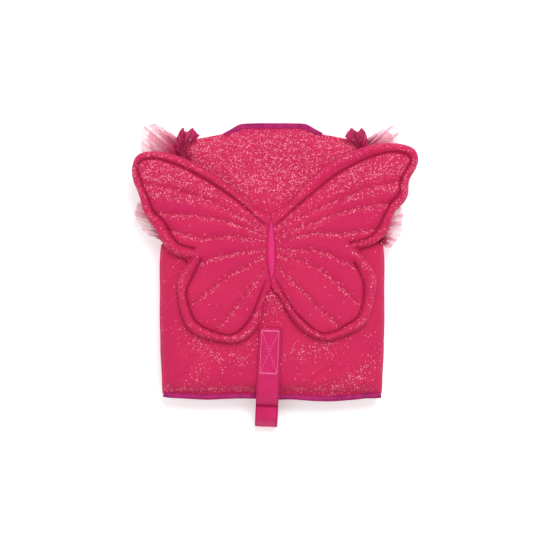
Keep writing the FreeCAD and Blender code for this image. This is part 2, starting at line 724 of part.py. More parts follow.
prong_x = size("plug_width") / 2 - 5.2
for side, word in ((-1, "left"), (1, "right")):
    low = plug_end + 2.1
    high = plug_end + size("prong_length")
    shaft = block(size("prong_wall"), low, high, inner_run_z - 2.6, inner_run_z + 2.6, side * prong_x)
    thumb = block(3.0, low + 5, high - 5, inner_run_z - 2.6, inner_run_z + 2.6, side * (prong_x + 2.0))
    on_strap("buckle_prong_" + word, shaft.fuse(thumb).removeSplitter())

adjuster_low = 4.0
adjuster = block(33.0, adjuster_low, adjuster_low + 18, inner_run_z - 2.6, inner_run_z + 2.6)
adjuster = adjuster.makeFillet(1.2, [e for e in adjuster.Edges if abs(e.tangentAt(e.FirstParameter).y) > 0.9])
adjuster_slot = block(size("webbing_width") + 0.8, adjuster_low - 1, adjuster_low + 19,
                      inner_run_z - 1.15, inner_run_z + 1.15)
window = block(size("webbing_width") + 0.8, adjuster_low + 3, adjuster_low + 7.5,
               inner_run_z, inner_run_z + 4)
second_window = block(size("webbing_width") + 0.8, adjuster_low + 10.5, adjuster_low + 15,
                      inner_run_z, inner_run_z + 4)
on_strap("strap_adjuster", adjuster.cut(adjuster_slot).cut(window).cut(second_window))

# ---- buckle socket and its short webbing, under the left chest panel beside the zip ----

socket_x = size("spine_x") - 33.2
socket_low_y = -143.5
socket_low_z = 0.6
socket_width = size("plug_width")
wall = size("socket_wall")


def socket_block(width, y_low, length, z_low, height):
    corner = FreeCAD.Vector(socket_x - width / 2, y_low, z_low)
    return Part.makeBox(width, length, height, corner)


socket = socket_block(socket_width, socket_low_y, size("socket_length"), socket_low_z, size("socket_height"))
socket = socket.makeFillet(1.6, [e for e in socket.Edges if abs(e.tangentAt(e.FirstParameter).y) > 0.9])
mouth = socket_block(socket_width - 2 * wall, socket_low_y - 1, 26.0, socket_low_z + wall,
                     size("socket_height") - 2 * wall)
thumb_windows = socket_block(socket_width + 4, socket_low_y + 6, 12.0, socket_low_z + wall + 0.8,
                             size("socket_height") - 2 * wall - 1.6)
tail_slot = socket_block(size("webbing_width") + 0.8, socket_low_y + 28.4, 6.0, socket_low_z + 6.4, 2.4)
buckle_socket = doc.addObject("Part::Feature", "buckle_socket")
buckle_socket.Shape = socket.cut(mouth).cut(thumb_windows).cut(tail_slot)
buckle_socket.Placement = FreeCAD.Placement()
keep("buckle_socket", buckle_socket)

anchor_low_z = socket_low_z + 6.8
anchor_y = socket_low_y + 28.6
anchor = socket_block(size("webbing_width"), anchor_y, 7.4, anchor_low_z, size("webbing_wall"))
rise_height = size("front_flange_z") - 0.1 - anchor_low_z
riser = socket_block(size("webbing_width"), anchor_y + 5.8, size("webbing_wall"), anchor_low_z, rise_height)
sewn = socket_block(size("webbing_width"), anchor_y + 5.8, 17.0, anchor_low_z + rise_height - size("webbing_wall"),
                    size("webbing_wall"))
socket_webbing = doc.addObject("Part::Feature", "buckle_socket_webbing")
socket_webbing.Shape = anchor.fuse([riser, sewn]).removeSplitter()
socket_webbing.Placement = FreeCAD.Placement()
keep("buckle_socket_webbing", socket_webbing)

# ---- check everything, then write one file for each sub-part ----

doc.recompute()
for item in doc.Objects:
    if "Invalid" in item.State or "Error" in item.State:
        raise RuntimeError(item.Name + " failed: " + str(item.State))
for item in sub_parts:
    if item.Shape.isNull() or not item.Shape.isValid():
        raise RuntimeError(item.Label + " has no valid shape")
whole = Part.makeCompound([item.Shape for item in sub_parts]).BoundBox
print("box", [round(v, 2) for v in (whole.XMin, whole.XMax, whole.YMin, whole.YMax, whole.ZMin, whole.ZMax)])
for item in sub_parts:
    item.Shape.exportStep("parts/" + item.Label + ".step")
    print(item.Label, len(item.Shape.Solids), round(item.Shape.Volume))
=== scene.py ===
import bpy
import bmesh
import math
import numpy as np
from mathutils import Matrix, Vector, noise
from mathutils.kdtree import KDTree


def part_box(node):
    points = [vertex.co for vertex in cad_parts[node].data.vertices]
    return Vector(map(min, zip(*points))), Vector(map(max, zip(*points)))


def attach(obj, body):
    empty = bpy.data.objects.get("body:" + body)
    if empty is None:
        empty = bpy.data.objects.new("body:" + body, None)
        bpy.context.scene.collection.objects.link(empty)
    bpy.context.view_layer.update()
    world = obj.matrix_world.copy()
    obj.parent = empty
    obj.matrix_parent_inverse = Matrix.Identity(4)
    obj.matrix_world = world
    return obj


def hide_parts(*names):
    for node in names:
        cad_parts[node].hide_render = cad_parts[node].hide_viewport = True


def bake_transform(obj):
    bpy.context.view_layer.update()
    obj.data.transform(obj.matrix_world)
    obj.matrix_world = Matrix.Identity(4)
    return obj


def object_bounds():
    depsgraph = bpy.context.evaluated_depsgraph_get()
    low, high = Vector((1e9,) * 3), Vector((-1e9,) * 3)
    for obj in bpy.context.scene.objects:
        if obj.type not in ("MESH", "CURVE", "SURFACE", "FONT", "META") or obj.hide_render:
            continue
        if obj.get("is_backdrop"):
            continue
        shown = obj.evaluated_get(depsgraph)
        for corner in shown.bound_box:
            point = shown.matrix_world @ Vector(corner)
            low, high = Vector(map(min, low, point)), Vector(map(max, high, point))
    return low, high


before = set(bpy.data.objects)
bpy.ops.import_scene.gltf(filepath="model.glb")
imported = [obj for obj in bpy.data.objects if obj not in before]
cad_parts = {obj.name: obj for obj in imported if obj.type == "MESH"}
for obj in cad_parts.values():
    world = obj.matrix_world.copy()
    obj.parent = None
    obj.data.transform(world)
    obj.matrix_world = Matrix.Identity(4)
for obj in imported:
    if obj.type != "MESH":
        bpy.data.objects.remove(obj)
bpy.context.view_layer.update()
mm = 0.001
scene = bpy.context.scene

spineLow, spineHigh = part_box("wing_seam_strip")
spineX = (spineLow.x + spineHigh.x) / 2
spineY = (spineLow.y + spineHigh.y) / 2
backLow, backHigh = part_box("back_shell")
vestX = (backLow.x + backHigh.x) / 2
bothSides = (("left", -1), ("right", 1))


def only(piece):
    bpy.ops.object.select_all(action='DESELECT')
    piece.select_set(True)
    bpy.context.view_layer.objects.active = piece


def modified(piece, kind, **settings):
    only(piece)
    modifier = piece.modifiers.new(kind.title(), kind)
    for key, value in settings.items():
        setattr(modifier, key, value)
    bpy.ops.object.modifier_apply(modifier=modifier.name)
    return piece


def cleaned(piece, gap=0.00002):
    # faces turned outwards, with points closer than the gap merged, unless the gap is None
    only(piece)
    bpy.ops.object.mode_set(mode='EDIT')
    bpy.ops.mesh.select_all(action='SELECT')
    if gap is not None:
        bpy.ops.mesh.remove_doubles(threshold=gap)
    bpy.ops.mesh.normals_make_consistent(inside=False)
    bpy.ops.object.mode_set(mode='OBJECT')
    return piece


def linked(name, data):
    piece = bpy.data.objects.new(name, data)
    bpy.context.collection.objects.link(piece)
    return piece


def meshed(name, mesh):
    data = bpy.data.meshes.new(name)
    mesh.to_mesh(data)
    mesh.free()
    return linked(name, data)


def listed(name, points, faces):
    data = bpy.data.meshes.new(name)
    data.from_pydata(points, [], faces)
    return linked(name, data)


def copyOf(node, name):
    piece = linked(name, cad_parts[node].data.copy())
    piece.data.materials.clear()
    return cleaned(piece)


def places(piece):
    flat = np.empty(len(piece.data.vertices) * 3)
    piece.data.vertices.foreach_get("co", flat)
    return flat.reshape(-1, 3)


def putPlaces(piece, spots):
    piece.data.vertices.foreach_set("co", spots.reshape(-1))
    piece.data.update()


def rimOf(node):
    # points every half millimetre round the top edge of a flat CAD piece
    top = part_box(node)[1].z
    mesh = bmesh.new()
    mesh.from_mesh(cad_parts[node].data)
    bmesh.ops.remove_doubles(mesh, verts=mesh.verts, dist=0.00002)
    spots = []
    for edge in mesh.edges:
        low = min(v.co.z for v in edge.verts)
        flat = [abs(face.normal.z) > 0.9 for face in edge.link_faces]
        if low > top - 0.00005 and len(flat) == 2 and flat[0] != flat[1]:
            a, b = (v.co.copy() for v in edge.verts)
            steps = max(1, int((b - a).length / (0.5 * mm)))
            spots += [a.lerp(b, i / steps) for i in range(steps)]
    mesh.free()
    return spots


def treeOf(spots):
    tree = KDTree(len(spots))
    for i, spot in enumerate(spots):
        tree.insert((spot[0], spot[1], 0), i)
    tree.balance()
    return tree


def reach(tree, spots):
    return np.array([tree.find((x, y, 0))[2] for x, y, _ in spots])


def lineThrough(points, step=0.5):
    # a smooth line through a few points, in the points' own unit
    ends = [points[0]] + list(points) + [points[-1]]
    spots = []
    for i in range(1, len(ends) - 2):
        p0, p1, p2, p3 = (np.array(ends[i + k], float) for k in (-1, 0, 1, 2))
        count = max(2, int(np.linalg.norm(p2 - p1) / step))
        for k in range(count):
            t = k / count
            spots.append(0.5 * (2 * p1 + (p2 - p0) * t + (2 * p0 - 5 * p1 + 4 * p2 - p3) * t * t
                                + (3 * p1 - p0 - 3 * p2 + p3) * t ** 3))
    spots.append(np.array(points[-1], float))
    return spots


def crown(distance, radius):
    inner = 1 - np.minimum(distance / radius, 1)
    return np.sqrt(np.maximum(1 - inner * inner, 0))


def groove(distance, width):
    return np.exp(-(distance / width) ** 2)


def bumps(spots, size, seed):
    shift = Vector((seed * 3.1, seed * 1.7, seed * 0.9))
    return np.array([noise.noise(Vector(p) / size + shift) for p in spots])


def inflate(piece, pressure, pinned, cap):
    # cloth simulation of a stuffed piece; pinned holds a weight from 0 to 1 for each vertex
    before = places(piece)
    group = piece.vertex_groups.new(name="pins")
    for i, weight in enumerate(pinned):
        if weight > 0.01:
            group.add([i], float(min(weight, 1)), 'REPLACE')
    only(piece)
    cloth = piece.modifiers.new("Cloth", 'CLOTH')
    cloth.settings.quality = 5
    cloth.settings.tension_stiffness = 12
    cloth.settings.compression_stiffness = 12
    cloth.settings.bending_stiffness = 0.6
    cloth.settings.vertex_group_mass = "pins"
    cloth.settings.use_pressure = True
    cloth.settings.uniform_pressure_force = pressure
    cloth.settings.effector_weights.gravity = 0
    cloth.collision_settings.use_collision = False
    for number in range(1, 21):
        scene.frame_set(number)
    shaped = piece.evaluated_get(bpy.context.evaluated_depsgraph_get())
    flat = np.empty(len(shaped.data.vertices) * 3)
    shaped.data.vertices.foreach_get("co", flat)
    move = flat.reshape(-1, 3) - before
    length = np.maximum(np.linalg.norm(move, axis=1), 1e-9)
    move *= (np.minimum(length, cap) / length)[:, None]
    piece.modifiers.remove(cloth)
    piece.vertex_groups.clear()
    putPlaces(piece, before + move)
    scene.frame_set(1)
    return piece


def paintGlintsAndSeamShade(piece, amount, seamShade=None):
    # how much of the print is painted as catching the light (painted glints), and how much painted shade
    # darkens the cloth where it lies deep in a seam, for each vertex
    for name, values in (("glitter", amount), ("seamShade", seamShade)):
        if values is not None:
            level = piece.data.attributes.new(name, 'FLOAT', 'POINT')
            level.data.foreach_set("value", np.clip(values, 0, 1).astype(np.float32))


def smoothShaded(piece, angle=None):
    only(piece)
    if angle is None:
        bpy.ops.object.shade_smooth()
    else:
        bpy.ops.object.shade_smooth_by_angle(angle=math.radians(angle))
    return piece


def finished(piece, material, body, slot, *nodes):
    if material is not None and not piece.data.materials:
        piece.data.materials.append(material)
    if body is not None:
        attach(piece, body)
    if nodes:
        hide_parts(*nodes)
    return piece


class Wire:
    def __init__(self, shader, socket):
        self.shader = shader
        self.socket = socket

    def math(self, operation, *values):
        return self.shader.math(operation, *values)

    def __add__(self, other):
        return self.math('ADD', self, other)

    def __radd__(self, other):
        return self.math('ADD', other, self)

    def __sub__(self, other):
        return self.math('SUBTRACT', self, other)

    def __rsub__(self, other):
        return self.math('SUBTRACT', other, self)

    def __mul__(self, other):
        return self.math('MULTIPLY', self, other)

    def __rmul__(self, other):
        return self.math('MULTIPLY', other, self)

    def __gt__(self, other):
        return self.math('GREATER_THAN', self, other)

    def __lt__(self, other):
        return self.math('LESS_THAN', self, other)

    def ramp(self, low, high, start=0.0, end=1.0):
        return self.shader.add('ShaderNodeMapRange', {'interpolation_type': 'SMOOTHSTEP'},
                               {'Value': self, 'From Min': low, 'From Max': high,
                                'To Min': start, 'To Max': end})

    def output(self, name):
        return Wire(self.shader, self.socket.node.outputs[name])


class Shader:
    def __init__(self, name):
        self.material = bpy.data.materials.new(name)
        self.material.use_nodes = True
        self.tree = self.material.node_tree
        self.tree.nodes.clear()

    def add(self, kind, settings, sockets, output=0):
        node = self.tree.nodes.new(kind)
        for key, value in settings.items():
            setattr(node, key, value)
        for key, value in sockets.items():
            if isinstance(value, Wire):
                self.tree.links.new(value.socket, node.inputs[key])
            else:
                node.inputs[key].default_value = value
        return Wire(self, node.outputs[output])

    def math(self, operation, *values):
        return self.add('ShaderNodeMath', {'operation': operation}, dict(enumerate(values)))

    def place(self):
        return self.add('ShaderNodeTexCoord', {}, {}, 'Object')

    def surface(self):
        return self.add('ShaderNodeUVMap', {'uv_map': 'UVMap'}, {})

    def split(self, vector):
        return self.add('ShaderNodeSeparateXYZ', {}, {'Vector': vector})

    def stretched(self, vector, scale, turn=0.0):
        return self.add('ShaderNodeMapping', {}, {'Vector': vector, 'Scale': scale,
                                                  'Rotation': (0, 0, math.radians(turn))})

    def noise(self, vector, size, detail=2.0):
        return self.add('ShaderNodeTexNoise', {}, {'Vector': vector, 'Scale': 1 / size, 'Detail': detail})

    def cells(self, vector, size):
        return self.add('ShaderNodeTexVoronoi', {'feature': 'F1'},
                        {'Vector': vector, 'Scale': 1 / size, 'Randomness': 1.0}, 'Distance')

    def blend(self, factor, colourA, colourB):
        node = self.tree.nodes.new('ShaderNodeMix')
        node.data_type = 'RGBA'
        for index, value in ((0, factor), (6, colourA), (7, colourB)):
            if isinstance(value, Wire):
                self.tree.links.new(value.socket, node.inputs[index])
            elif index == 0:
                node.inputs[index].default_value = value
            else:
                node.inputs[index].default_value = (*value, 1)
        return Wire(self, node.outputs[2])

    def bump(self, height, depth, strength=1.0):
        return self.add('ShaderNodeBump', {}, {'Height': height, 'Distance': depth, 'Strength': strength})

    def done(self, **sockets):
        names = {'colour': 'Base Color', 'roughness': 'Roughness', 'normal': 'Normal',
                 'alpha': 'Alpha', 'sheen': 'Sheen Weight', 'sheenTint': 'Sheen Tint',
                 'sheenRoughness': 'Sheen Roughness', 'specular': 'Specular IOR Level',
                 'glow': 'Emission Color', 'glowStrength': 'Emission Strength'}
        ready = {}
        for key, value in sockets.items():
            if isinstance(value, tuple) and len(value) == 3:
                value = (*value, 1)
            ready[names[key]] = value
        body = self.add('ShaderNodeBsdfPrincipled', {}, ready)
        end = self.tree.nodes.new('ShaderNodeOutputMaterial')
        self.tree.links.new(body.socket, end.inputs['Surface'])
        return self.material


cloth = {'colour': (0.525, 0.014, 0.086), 'warm': (0.57, 0.018, 0.09), 'shade': (0.41, 0.008, 0.066),
         'deep': (0.20, 0.003, 0.03), 'glintFlake': (1.0, 0.30, 0.38), 'fineGlintFlake': (0.85, 0.15, 0.20),
         'flakeSize': 1.75 * mm, 'fineSize': 1.15 * mm, 'weave': 0.7 * mm}


def glitterCloth(name):
    # stretch cloth printed with glitter; the mesh's "glitter" attribute says how much of it is painted as
    # catching
    # the light: its flakes are painted brighter as glints, and the base between them painted darker; the
    # mesh's second attribute says how much painted shade darkens the cloth down in a seam
    s = Shader(name)
    at = s.place()
    amount = s.add('ShaderNodeAttribute', {'attribute_name': 'glitter'}, {}, 'Fac')
    wide = s.noise(at, 60 * mm, 3)
    patch = s.noise(at, 7 * mm, 3)
    level = amount * patch.ramp(0.33, 0.60, 0.35, 1.15)
    tone = s.blend(wide.ramp(0.35, 0.68), cloth['colour'], cloth['warm'])
    tone = s.blend(level * 0.42, tone, cloth['shade'])
    seamShade = s.add('ShaderNodeAttribute', {'attribute_name': 'seamShade'}, {}, 'Fac')
    # painted shade: the cloth is darkened towards the deep colour down in the seams
    tone = s.blend(seamShade, tone, cloth['deep'])
    # painted glints: flake cells painted in light pink base colour where the glitter level is high
    glintFlake = s.cells(at, cloth['flakeSize'])
    bright = s.split(glintFlake.output('Color'))
    shown = (bright > 1 - level * 0.62) * glintFlake.ramp(0.50, 0.30)
    fine = s.cells(at, cloth['fineSize'])
    fineShown = (s.split(fine.output('Color')) > 0.998 - level * 0.58) * fine.ramp(0.50, 0.32)
    colour = s.blend(fineShown * 0.50, tone, cloth['fineGlintFlake'])
    colour = s.blend(shown * bright.output('Y').ramp(0.0, 1.0, 0.30, 0.95), colour, cloth['glintFlake'])
    weave = s.noise(at, cloth['weave'], 2) * 0.5 + s.noise(at, 2.6 * mm, 2) * 0.5
    return s.done(colour=colour, roughness=0.78 - shown * 0.35, normal=s.bump(weave, 0.12 * mm, 0.5),
                  sheen=0.12, sheenTint=(1.0, 0.2, 0.45), sheenRoughness=0.5, specular=0.18)


def wornCloth(name, colour, dark, size, detail, *ramp):
    # a new shader, its place, its patches of wear, and a colour that is darker where it is worn
    s = Shader(name)
    at = s.place()
    worn = s.noise(at, size * mm, detail)
    return s, at, worn, s.blend(worn.ramp(*ramp), colour, dark)


def ribbedTape(name, colour, dark, pitch, turn=0.0, depth=0.25):
    s, at, worn, tone = wornCloth(name, colour, dark, 9, 3, 0.35, 0.7)
    along = s.split(s.stretched(at, (1, 1, 1), turn))
    rib = s.math('SINE', along * (2 * math.pi / pitch))
    tone = s.blend(rib.ramp(-1, 0.2, 0.35, 0), tone, dark)
    normal = s.bump(rib + s.noise(at, 0.6 * mm, 2), depth * mm, 0.7)
    return s.done(colour=tone, roughness=0.62 + worn * 0.2, normal=normal, sheen=0.3,
                  sheenTint=(1.0, 0.3, 0.7), specular=0.25)


def webbingCloth(name, colour, dark, light):
    # UV runs in millimetres: x across the webbing, y along it
    s = Shader(name)
    across = s.split(s.surface())
    along = across.output('Y')
    rib = s.math('SINE', along * (2 * math.pi / 1.25))
    cord = s.math('SINE', across * (2 * math.pi / 0.9) + rib * 0.9)
    worn = s.noise(s.surface(), 14.0, 3)
    edge = s.math('ABSOLUTE', across)
    tone = s.blend(worn.ramp(0.3, 0.7), colour, light)
    tone = s.blend(rib.ramp(-1.0, 0.0, 0.30, 0), tone, dark)
    tone = s.blend(edge.ramp(10.9, 11.6, 0, 0.55), tone, dark)
    normal = s.bump(rib * 0.7 + cord * 0.35, 0.22 * mm, 0.8)
    return s.done(colour=tone, roughness=0.5 + worn * 0.15, normal=normal, sheen=0.1,
                  sheenTint=(1.0, 0.3, 0.6), specular=0.28)


def satin(name, colour, dark):
    s, at, worn, tone = wornCloth(name, colour, dark, 5, 2, 0.3, 0.7, 0, 0.5)
    along = s.split(at).output('Y')
    rib = s.math('SINE', along * (2 * math.pi / (1.1 * mm)))
    tone = s.blend(rib.ramp(-1, 0, 0.25, 0), tone, dark)
    return s.done(colour=tone, roughness=0.38 + worn * 0.15, normal=s.bump(rib, 0.12 * mm, 0.6),
                  sheen=0.1, sheenTint=(1.0, 0.3, 0.7), specular=0.3)


def netCloth(name, colour, pale):
    # net with air between its threads; the UV map counts millimetres, y outwards from the gathered edge
    s = Shader(name)
    flat = s.surface()
    across = s.split(s.stretched(flat, (1, 1, 1), 45))
    pitch = 2 * math.pi / 0.9
    threadA = s.math('COSINE', across * pitch)
    threadB = s.math('COSINE', across.output('Y') * pitch)
    threads = s.math('MAXIMUM', threadA, threadB)
    out = s.split(flat).output('Y')
    streak = s.noise(s.stretched(flat, (0.42, 0.06, 1)), 1.0, 3)
    # painted glints: bright flecks painted on the net where its glitter catches the light
    fleck = s.cells(flat, 1.8)
    lit = (s.split(fleck.output('Color')) > 0.86) * fleck.ramp(0.5, 0.3)
    # painted shade, together with the denser gathered net, darkens the net near its gathered edge; further
    # out it fades to pale
    tone = s.blend(out.ramp(2, 15, 0.75, 0), colour, (0.26, 0.004, 0.045))
    tone = s.blend(out.ramp(20, 47), tone, pale)
    tone = s.blend(streak.ramp(0.42, 0.70, 0, 0.35), tone, (0.42, 0.006, 0.08))
    tone = s.blend(lit * 0.4, tone, (0.95, 0.30, 0.42))
    thick = threads.ramp(0.35, 0.9, 0, 0.14) + out.ramp(10, 44, 0.90, 0.22) + streak.ramp(0.42, 0.66, 0, 0.20)
    solid = s.math('MINIMUM', thick + lit * 0.3, 1.0)
    return s.done(colour=tone, roughness=0.6, alpha=solid, specular=0.3)


def moulded(name, colour, dark):
    s, at, worn, tone = wornCloth(name, colour, dark, 3, 3, 0.3, 0.75, 0, 0.6)
    return s.done(colour=tone, roughness=0.32 + worn * 0.18, specular=0.5,
                  normal=s.bump(s.noise(at, 0.5 * mm), 0.03 * mm, 0.4))


def plainCloth(name, colour, dark):
    s, at, worn, tone = wornCloth(name, colour, dark, 18, 3, 0.3, 0.7)
    knit = s.add('ShaderNodeTexWave', {'wave_type': 'BANDS'}, {'Vector': at, 'Scale': 180, 'Distortion': 1.5})
    return s.done(colour=tone, roughness=0.75 + worn * 0.15, normal=s.bump(s.split(knit), 0.12 * mm, 0.5),
                  sheen=0.3, sheenTint=(1.0, 0.5, 0.7), specular=0.3)


def sewingThread(name, colour, dark):
    s, at, worn, tone = wornCloth(name, colour, dark, 1.2, 2, 0.35, 0.65)
    return s.done(colour=tone, roughness=0.5 + worn * 0.2, specular=0.4,
                  normal=s.bump(worn, 0.05 * mm, 0.6))


glitterPrint = glitterCloth("glitterPrint")
bindingTape = ribbedTape("bindingTape", (0.44, 0.010, 0.135), (0.27, 0.006, 0.10), 2.3 * mm)
liningCloth = plainCloth("liningCloth", (0.55, 0.035, 0.13), (0.44, 0.025, 0.11))
ribbonSatin = satin("ribbonSatin", (0.72, 0.006, 0.155), (0.55, 0.004, 0.11))
strapWebbing = webbingCloth("strapWebbing", (0.60, 0.007, 0.112), (0.40, 0.003, 0.05), (0.68, 0.012, 0.15))
ruffleNet = netCloth("ruffleNet", (0.50, 0.010, 0.10), (0.88, 0.36, 0.48))
bucklePlastic = moulded("buckleMoulding", (0.58, 0.018, 0.12), (0.46, 0.012, 0.09))
zipPlastic = moulded("zipMoulding", (0.66, 0.03, 0.18), (0.5, 0.015, 0.12))
zipTapeCloth = ribbedTape("zipTapeCloth", (0.55, 0.02, 0.14), (0.40, 0.012, 0.10), 1.1 * mm, 90, 0.12)
paleThread = sewingThread("paleThread", (0.90, 0.20, 0.36), (0.78, 0.10, 0.24))
hemThread = sewingThread("hemThread", (0.72, 0.07, 0.30), (0.52, 0.03, 0.20))
darkThread = sewingThread("darkThread", (0.50, 0.015, 0.15), (0.34, 0.008, 0.10))
print("materials ready")


view = {'distance': 2.6, 'width': 0.660, 'focusHeight': 0.046, 'sensor': 36.0}

bpy.ops.object.camera_add(location=(0, 0, view['distance'] + view['focusHeight']), rotation=(0, 0, 0))
camera = bpy.context.object
camera.name = "camera"
camera.data.sensor_width = view['sensor']
camera.data.lens = view['sensor'] * view['distance'] / view['width']
camera.data.clip_end = 50
scene.camera = camera

bpy.ops.mesh.primitive_plane_add(size=12, location=(0, 0, -0.0002))
floor = bpy.context.object
floor.name = "floor"
floorPaint = Shader("floorPaint")
floor.data.materials.append(floorPaint.done(colour=(0.93, 0.93, 0.93), roughness=0.9, specular=0.0,
                                            glow=(1.0, 1.0, 1.0), glowStrength=0.30))
floor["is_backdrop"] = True


def lamp(name, place, aim, side, power):
    bpy.ops.object.light_add(type='AREA', location=place)
    light = bpy.context.object
    light.name = name
    light.data.shape = 'SQUARE'
    light.data.size = side
    light.data.energy = power
    light.rotation_euler = (Vector(aim) - Vector(place)).to_track_quat('-Z', 'Y').to_euler()


lamp("softKey", (0.35, 0.95, 1.9), (0, 0, 0.03), 0.9, 25)
lamp("softFill", (-1.2, -0.9, 1.6), (0, 0, 0.03), 1.4, 5)
world = bpy.data.worlds.new("studio")
scene.world = world
world.use_nodes = True
world.node_tree.nodes["Background"].inputs["Color"].default_value = (1, 1, 1, 1)
world.node_tree.nodes["Background"].inputs["Strength"].default_value = 0.69
scene.view_settings.view_transform = 'Standard'
print("studio ready")


backPad = {'slabHeight': 15 * mm, 'voxel': 4.0 * mm, 'edge': 2.5 * mm, 'flange': 5.5 * mm, 'roll': 22 * mm,
           'foldDepth': 0.9 * mm, 'foldSize': 38 * mm, 'creaseDepth': 2.4 * mm,
           'creases': [[(34, -139), (52, -124), (70, -112)], [(60, -140), (74, -130), (88, -126)],
                       [(-118, -134), (-104, -118), (-96, -98)], [(-70, -140), (-62, -128)],
                       [(112, -132), (118, -112)]],
           # patches that catch the light: x, y, half width, half height, turn in degrees, strength, in mm
           'patches': [(-84, -86, 34, 9, -35, 0.7), (-44, -98, 20, 8, -10, 0.6), (48, -90, 32, 11, 12, 0.7),
                       (-92, -122, 12, 12, -50, 0.6), (90, -128, 42, 9, 32, 0.9), (2, -24, 14, 26, 0, 0.75),
                       (-108, -20, 14, 40, 10, 0.25), (-50, -76, 60, 7, -18, 0.35),
                       (66, -78, 50, 7, 14, 0.35)]}


# painted glints: how much of the back's glitter print is painted as catching the light, over the upper back,
# in the listed patches and in a row along the hem
def backPaintedGlints(spots):
    x = (spots[:, 0] - vestX) / mm
    y = spots[:, 1] / mm
    amount = 0.95 * np.clip((y - 78) / 28, 0, 1) * np.clip((178 - y) / 8, 0.4, 1)
    for px, py, wide, high, turn, strength in backPad['patches']:
        c, s = math.cos(math.radians(turn)), math.sin(math.radians(turn))
        u = ((x - px) * c + (y - py) * s) / wide
        v = ((y - py) * c - (x - px) * s) / high
        amount = np.maximum(amount, strength * np.exp(-(u * u + v * v)))
    hemRow = 0.85 * np.exp(-((y + 137.5) / 3.0) ** 2) * np.clip(np.abs(x) / 30, 0.3, 1)
    amount = np.maximum(amount, hemRow)
    return 0.02 + amount * (1 + 0.25 * bumps(spots, 16 * mm, 21))


def padOver(name, plate, height, start, cut):
    # the flat plate of a panel grown to a slab and remeshed, ready for its crown
    piece = copyOf(plate, name)
    spots = places(piece)
    spots[:, 2] = np.where(np.abs(spots[:, 2] - start) > 0.0005, start + height, start)
    putPlaces(piece, spots)
    return modified(piece, 'REMESH', mode='VOXEL', voxel_size=cut)


def lined(piece, way, height):
    # glitter cloth, with lining on the flat side that faces the way given, past a height
    piece.data.materials.append(glitterPrint)
    piece.data.materials.append(liningCloth)
    for face in piece.data.polygons:
        if way * face.normal.z > 0.7 and way * face.center.z > way * height:
            face.material_index = 1


def buildBack():
    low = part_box("back_lining")[0].z
    top = backHigh.z
    piece = padOver("backPad", "back_lining", backPad['slabHeight'], low, backPad['voxel'])
    rim = treeOf(rimOf("back_lining"))
    spots = places(piece)
    share = np.clip((spots[:, 2] - low) / backPad['slabHeight'], 0, 1)
    gap = reach(rim, spots)
    tapeRoom = backPad['flange'] * np.clip((np.abs(spots[:, 1] - 10 * mm) - 138 * mm) / (9 * mm), 0, 1)
    rise = backPad['edge'] + (top - low - backPad['edge'] - 0.6 * mm) * crown(
        np.maximum(gap - tapeRoom, 0), backPad['roll'])
    spots[:, 2] = low + share * rise
    putPlaces(piece, spots)
    pins = np.where(share < 0.4, 1.0, np.clip(1.6 - gap / (7 * mm), 0.12, 1))
    inflate(piece, 0.4, pins, 1.5 * mm)
    modified(piece, 'SUBSURF', levels=1, render_levels=1)
    spots = places(piece)
    gap = reach(rim, spots)
    share = np.clip((spots[:, 2] - low - 2.6 * mm) / (8 * mm), 0, 1)
    folds = bumps(spots, backPad['foldSize'], 3) * backPad['foldDepth']
    folds += bumps(spots * (1, 0.4, 1), 14 * mm, 5) * 0.35 * mm
    hollow = np.zeros(len(spots))
    for crease in backPad['creases']:
        line = treeOf([(vestX + x * mm, y * mm) for x, y in lineThrough(crease)])
        hollow += groove(reach(line, spots), 3.2 * mm) * backPad['creaseDepth']
    spots[:, 2] += share * (folds - hollow - 0.5 * mm)
    putPlaces(piece, spots)
    smoothShaded(piece)
    paintGlintsAndSeamShade(piece, backPaintedGlints(spots))
    lined(piece, -1, low + 1.5 * mm)
    finished(piece, None, "vest", "glitter_cloth", "back_shell", "back_foam", "back_lining")


buildBack()
print("back ready")


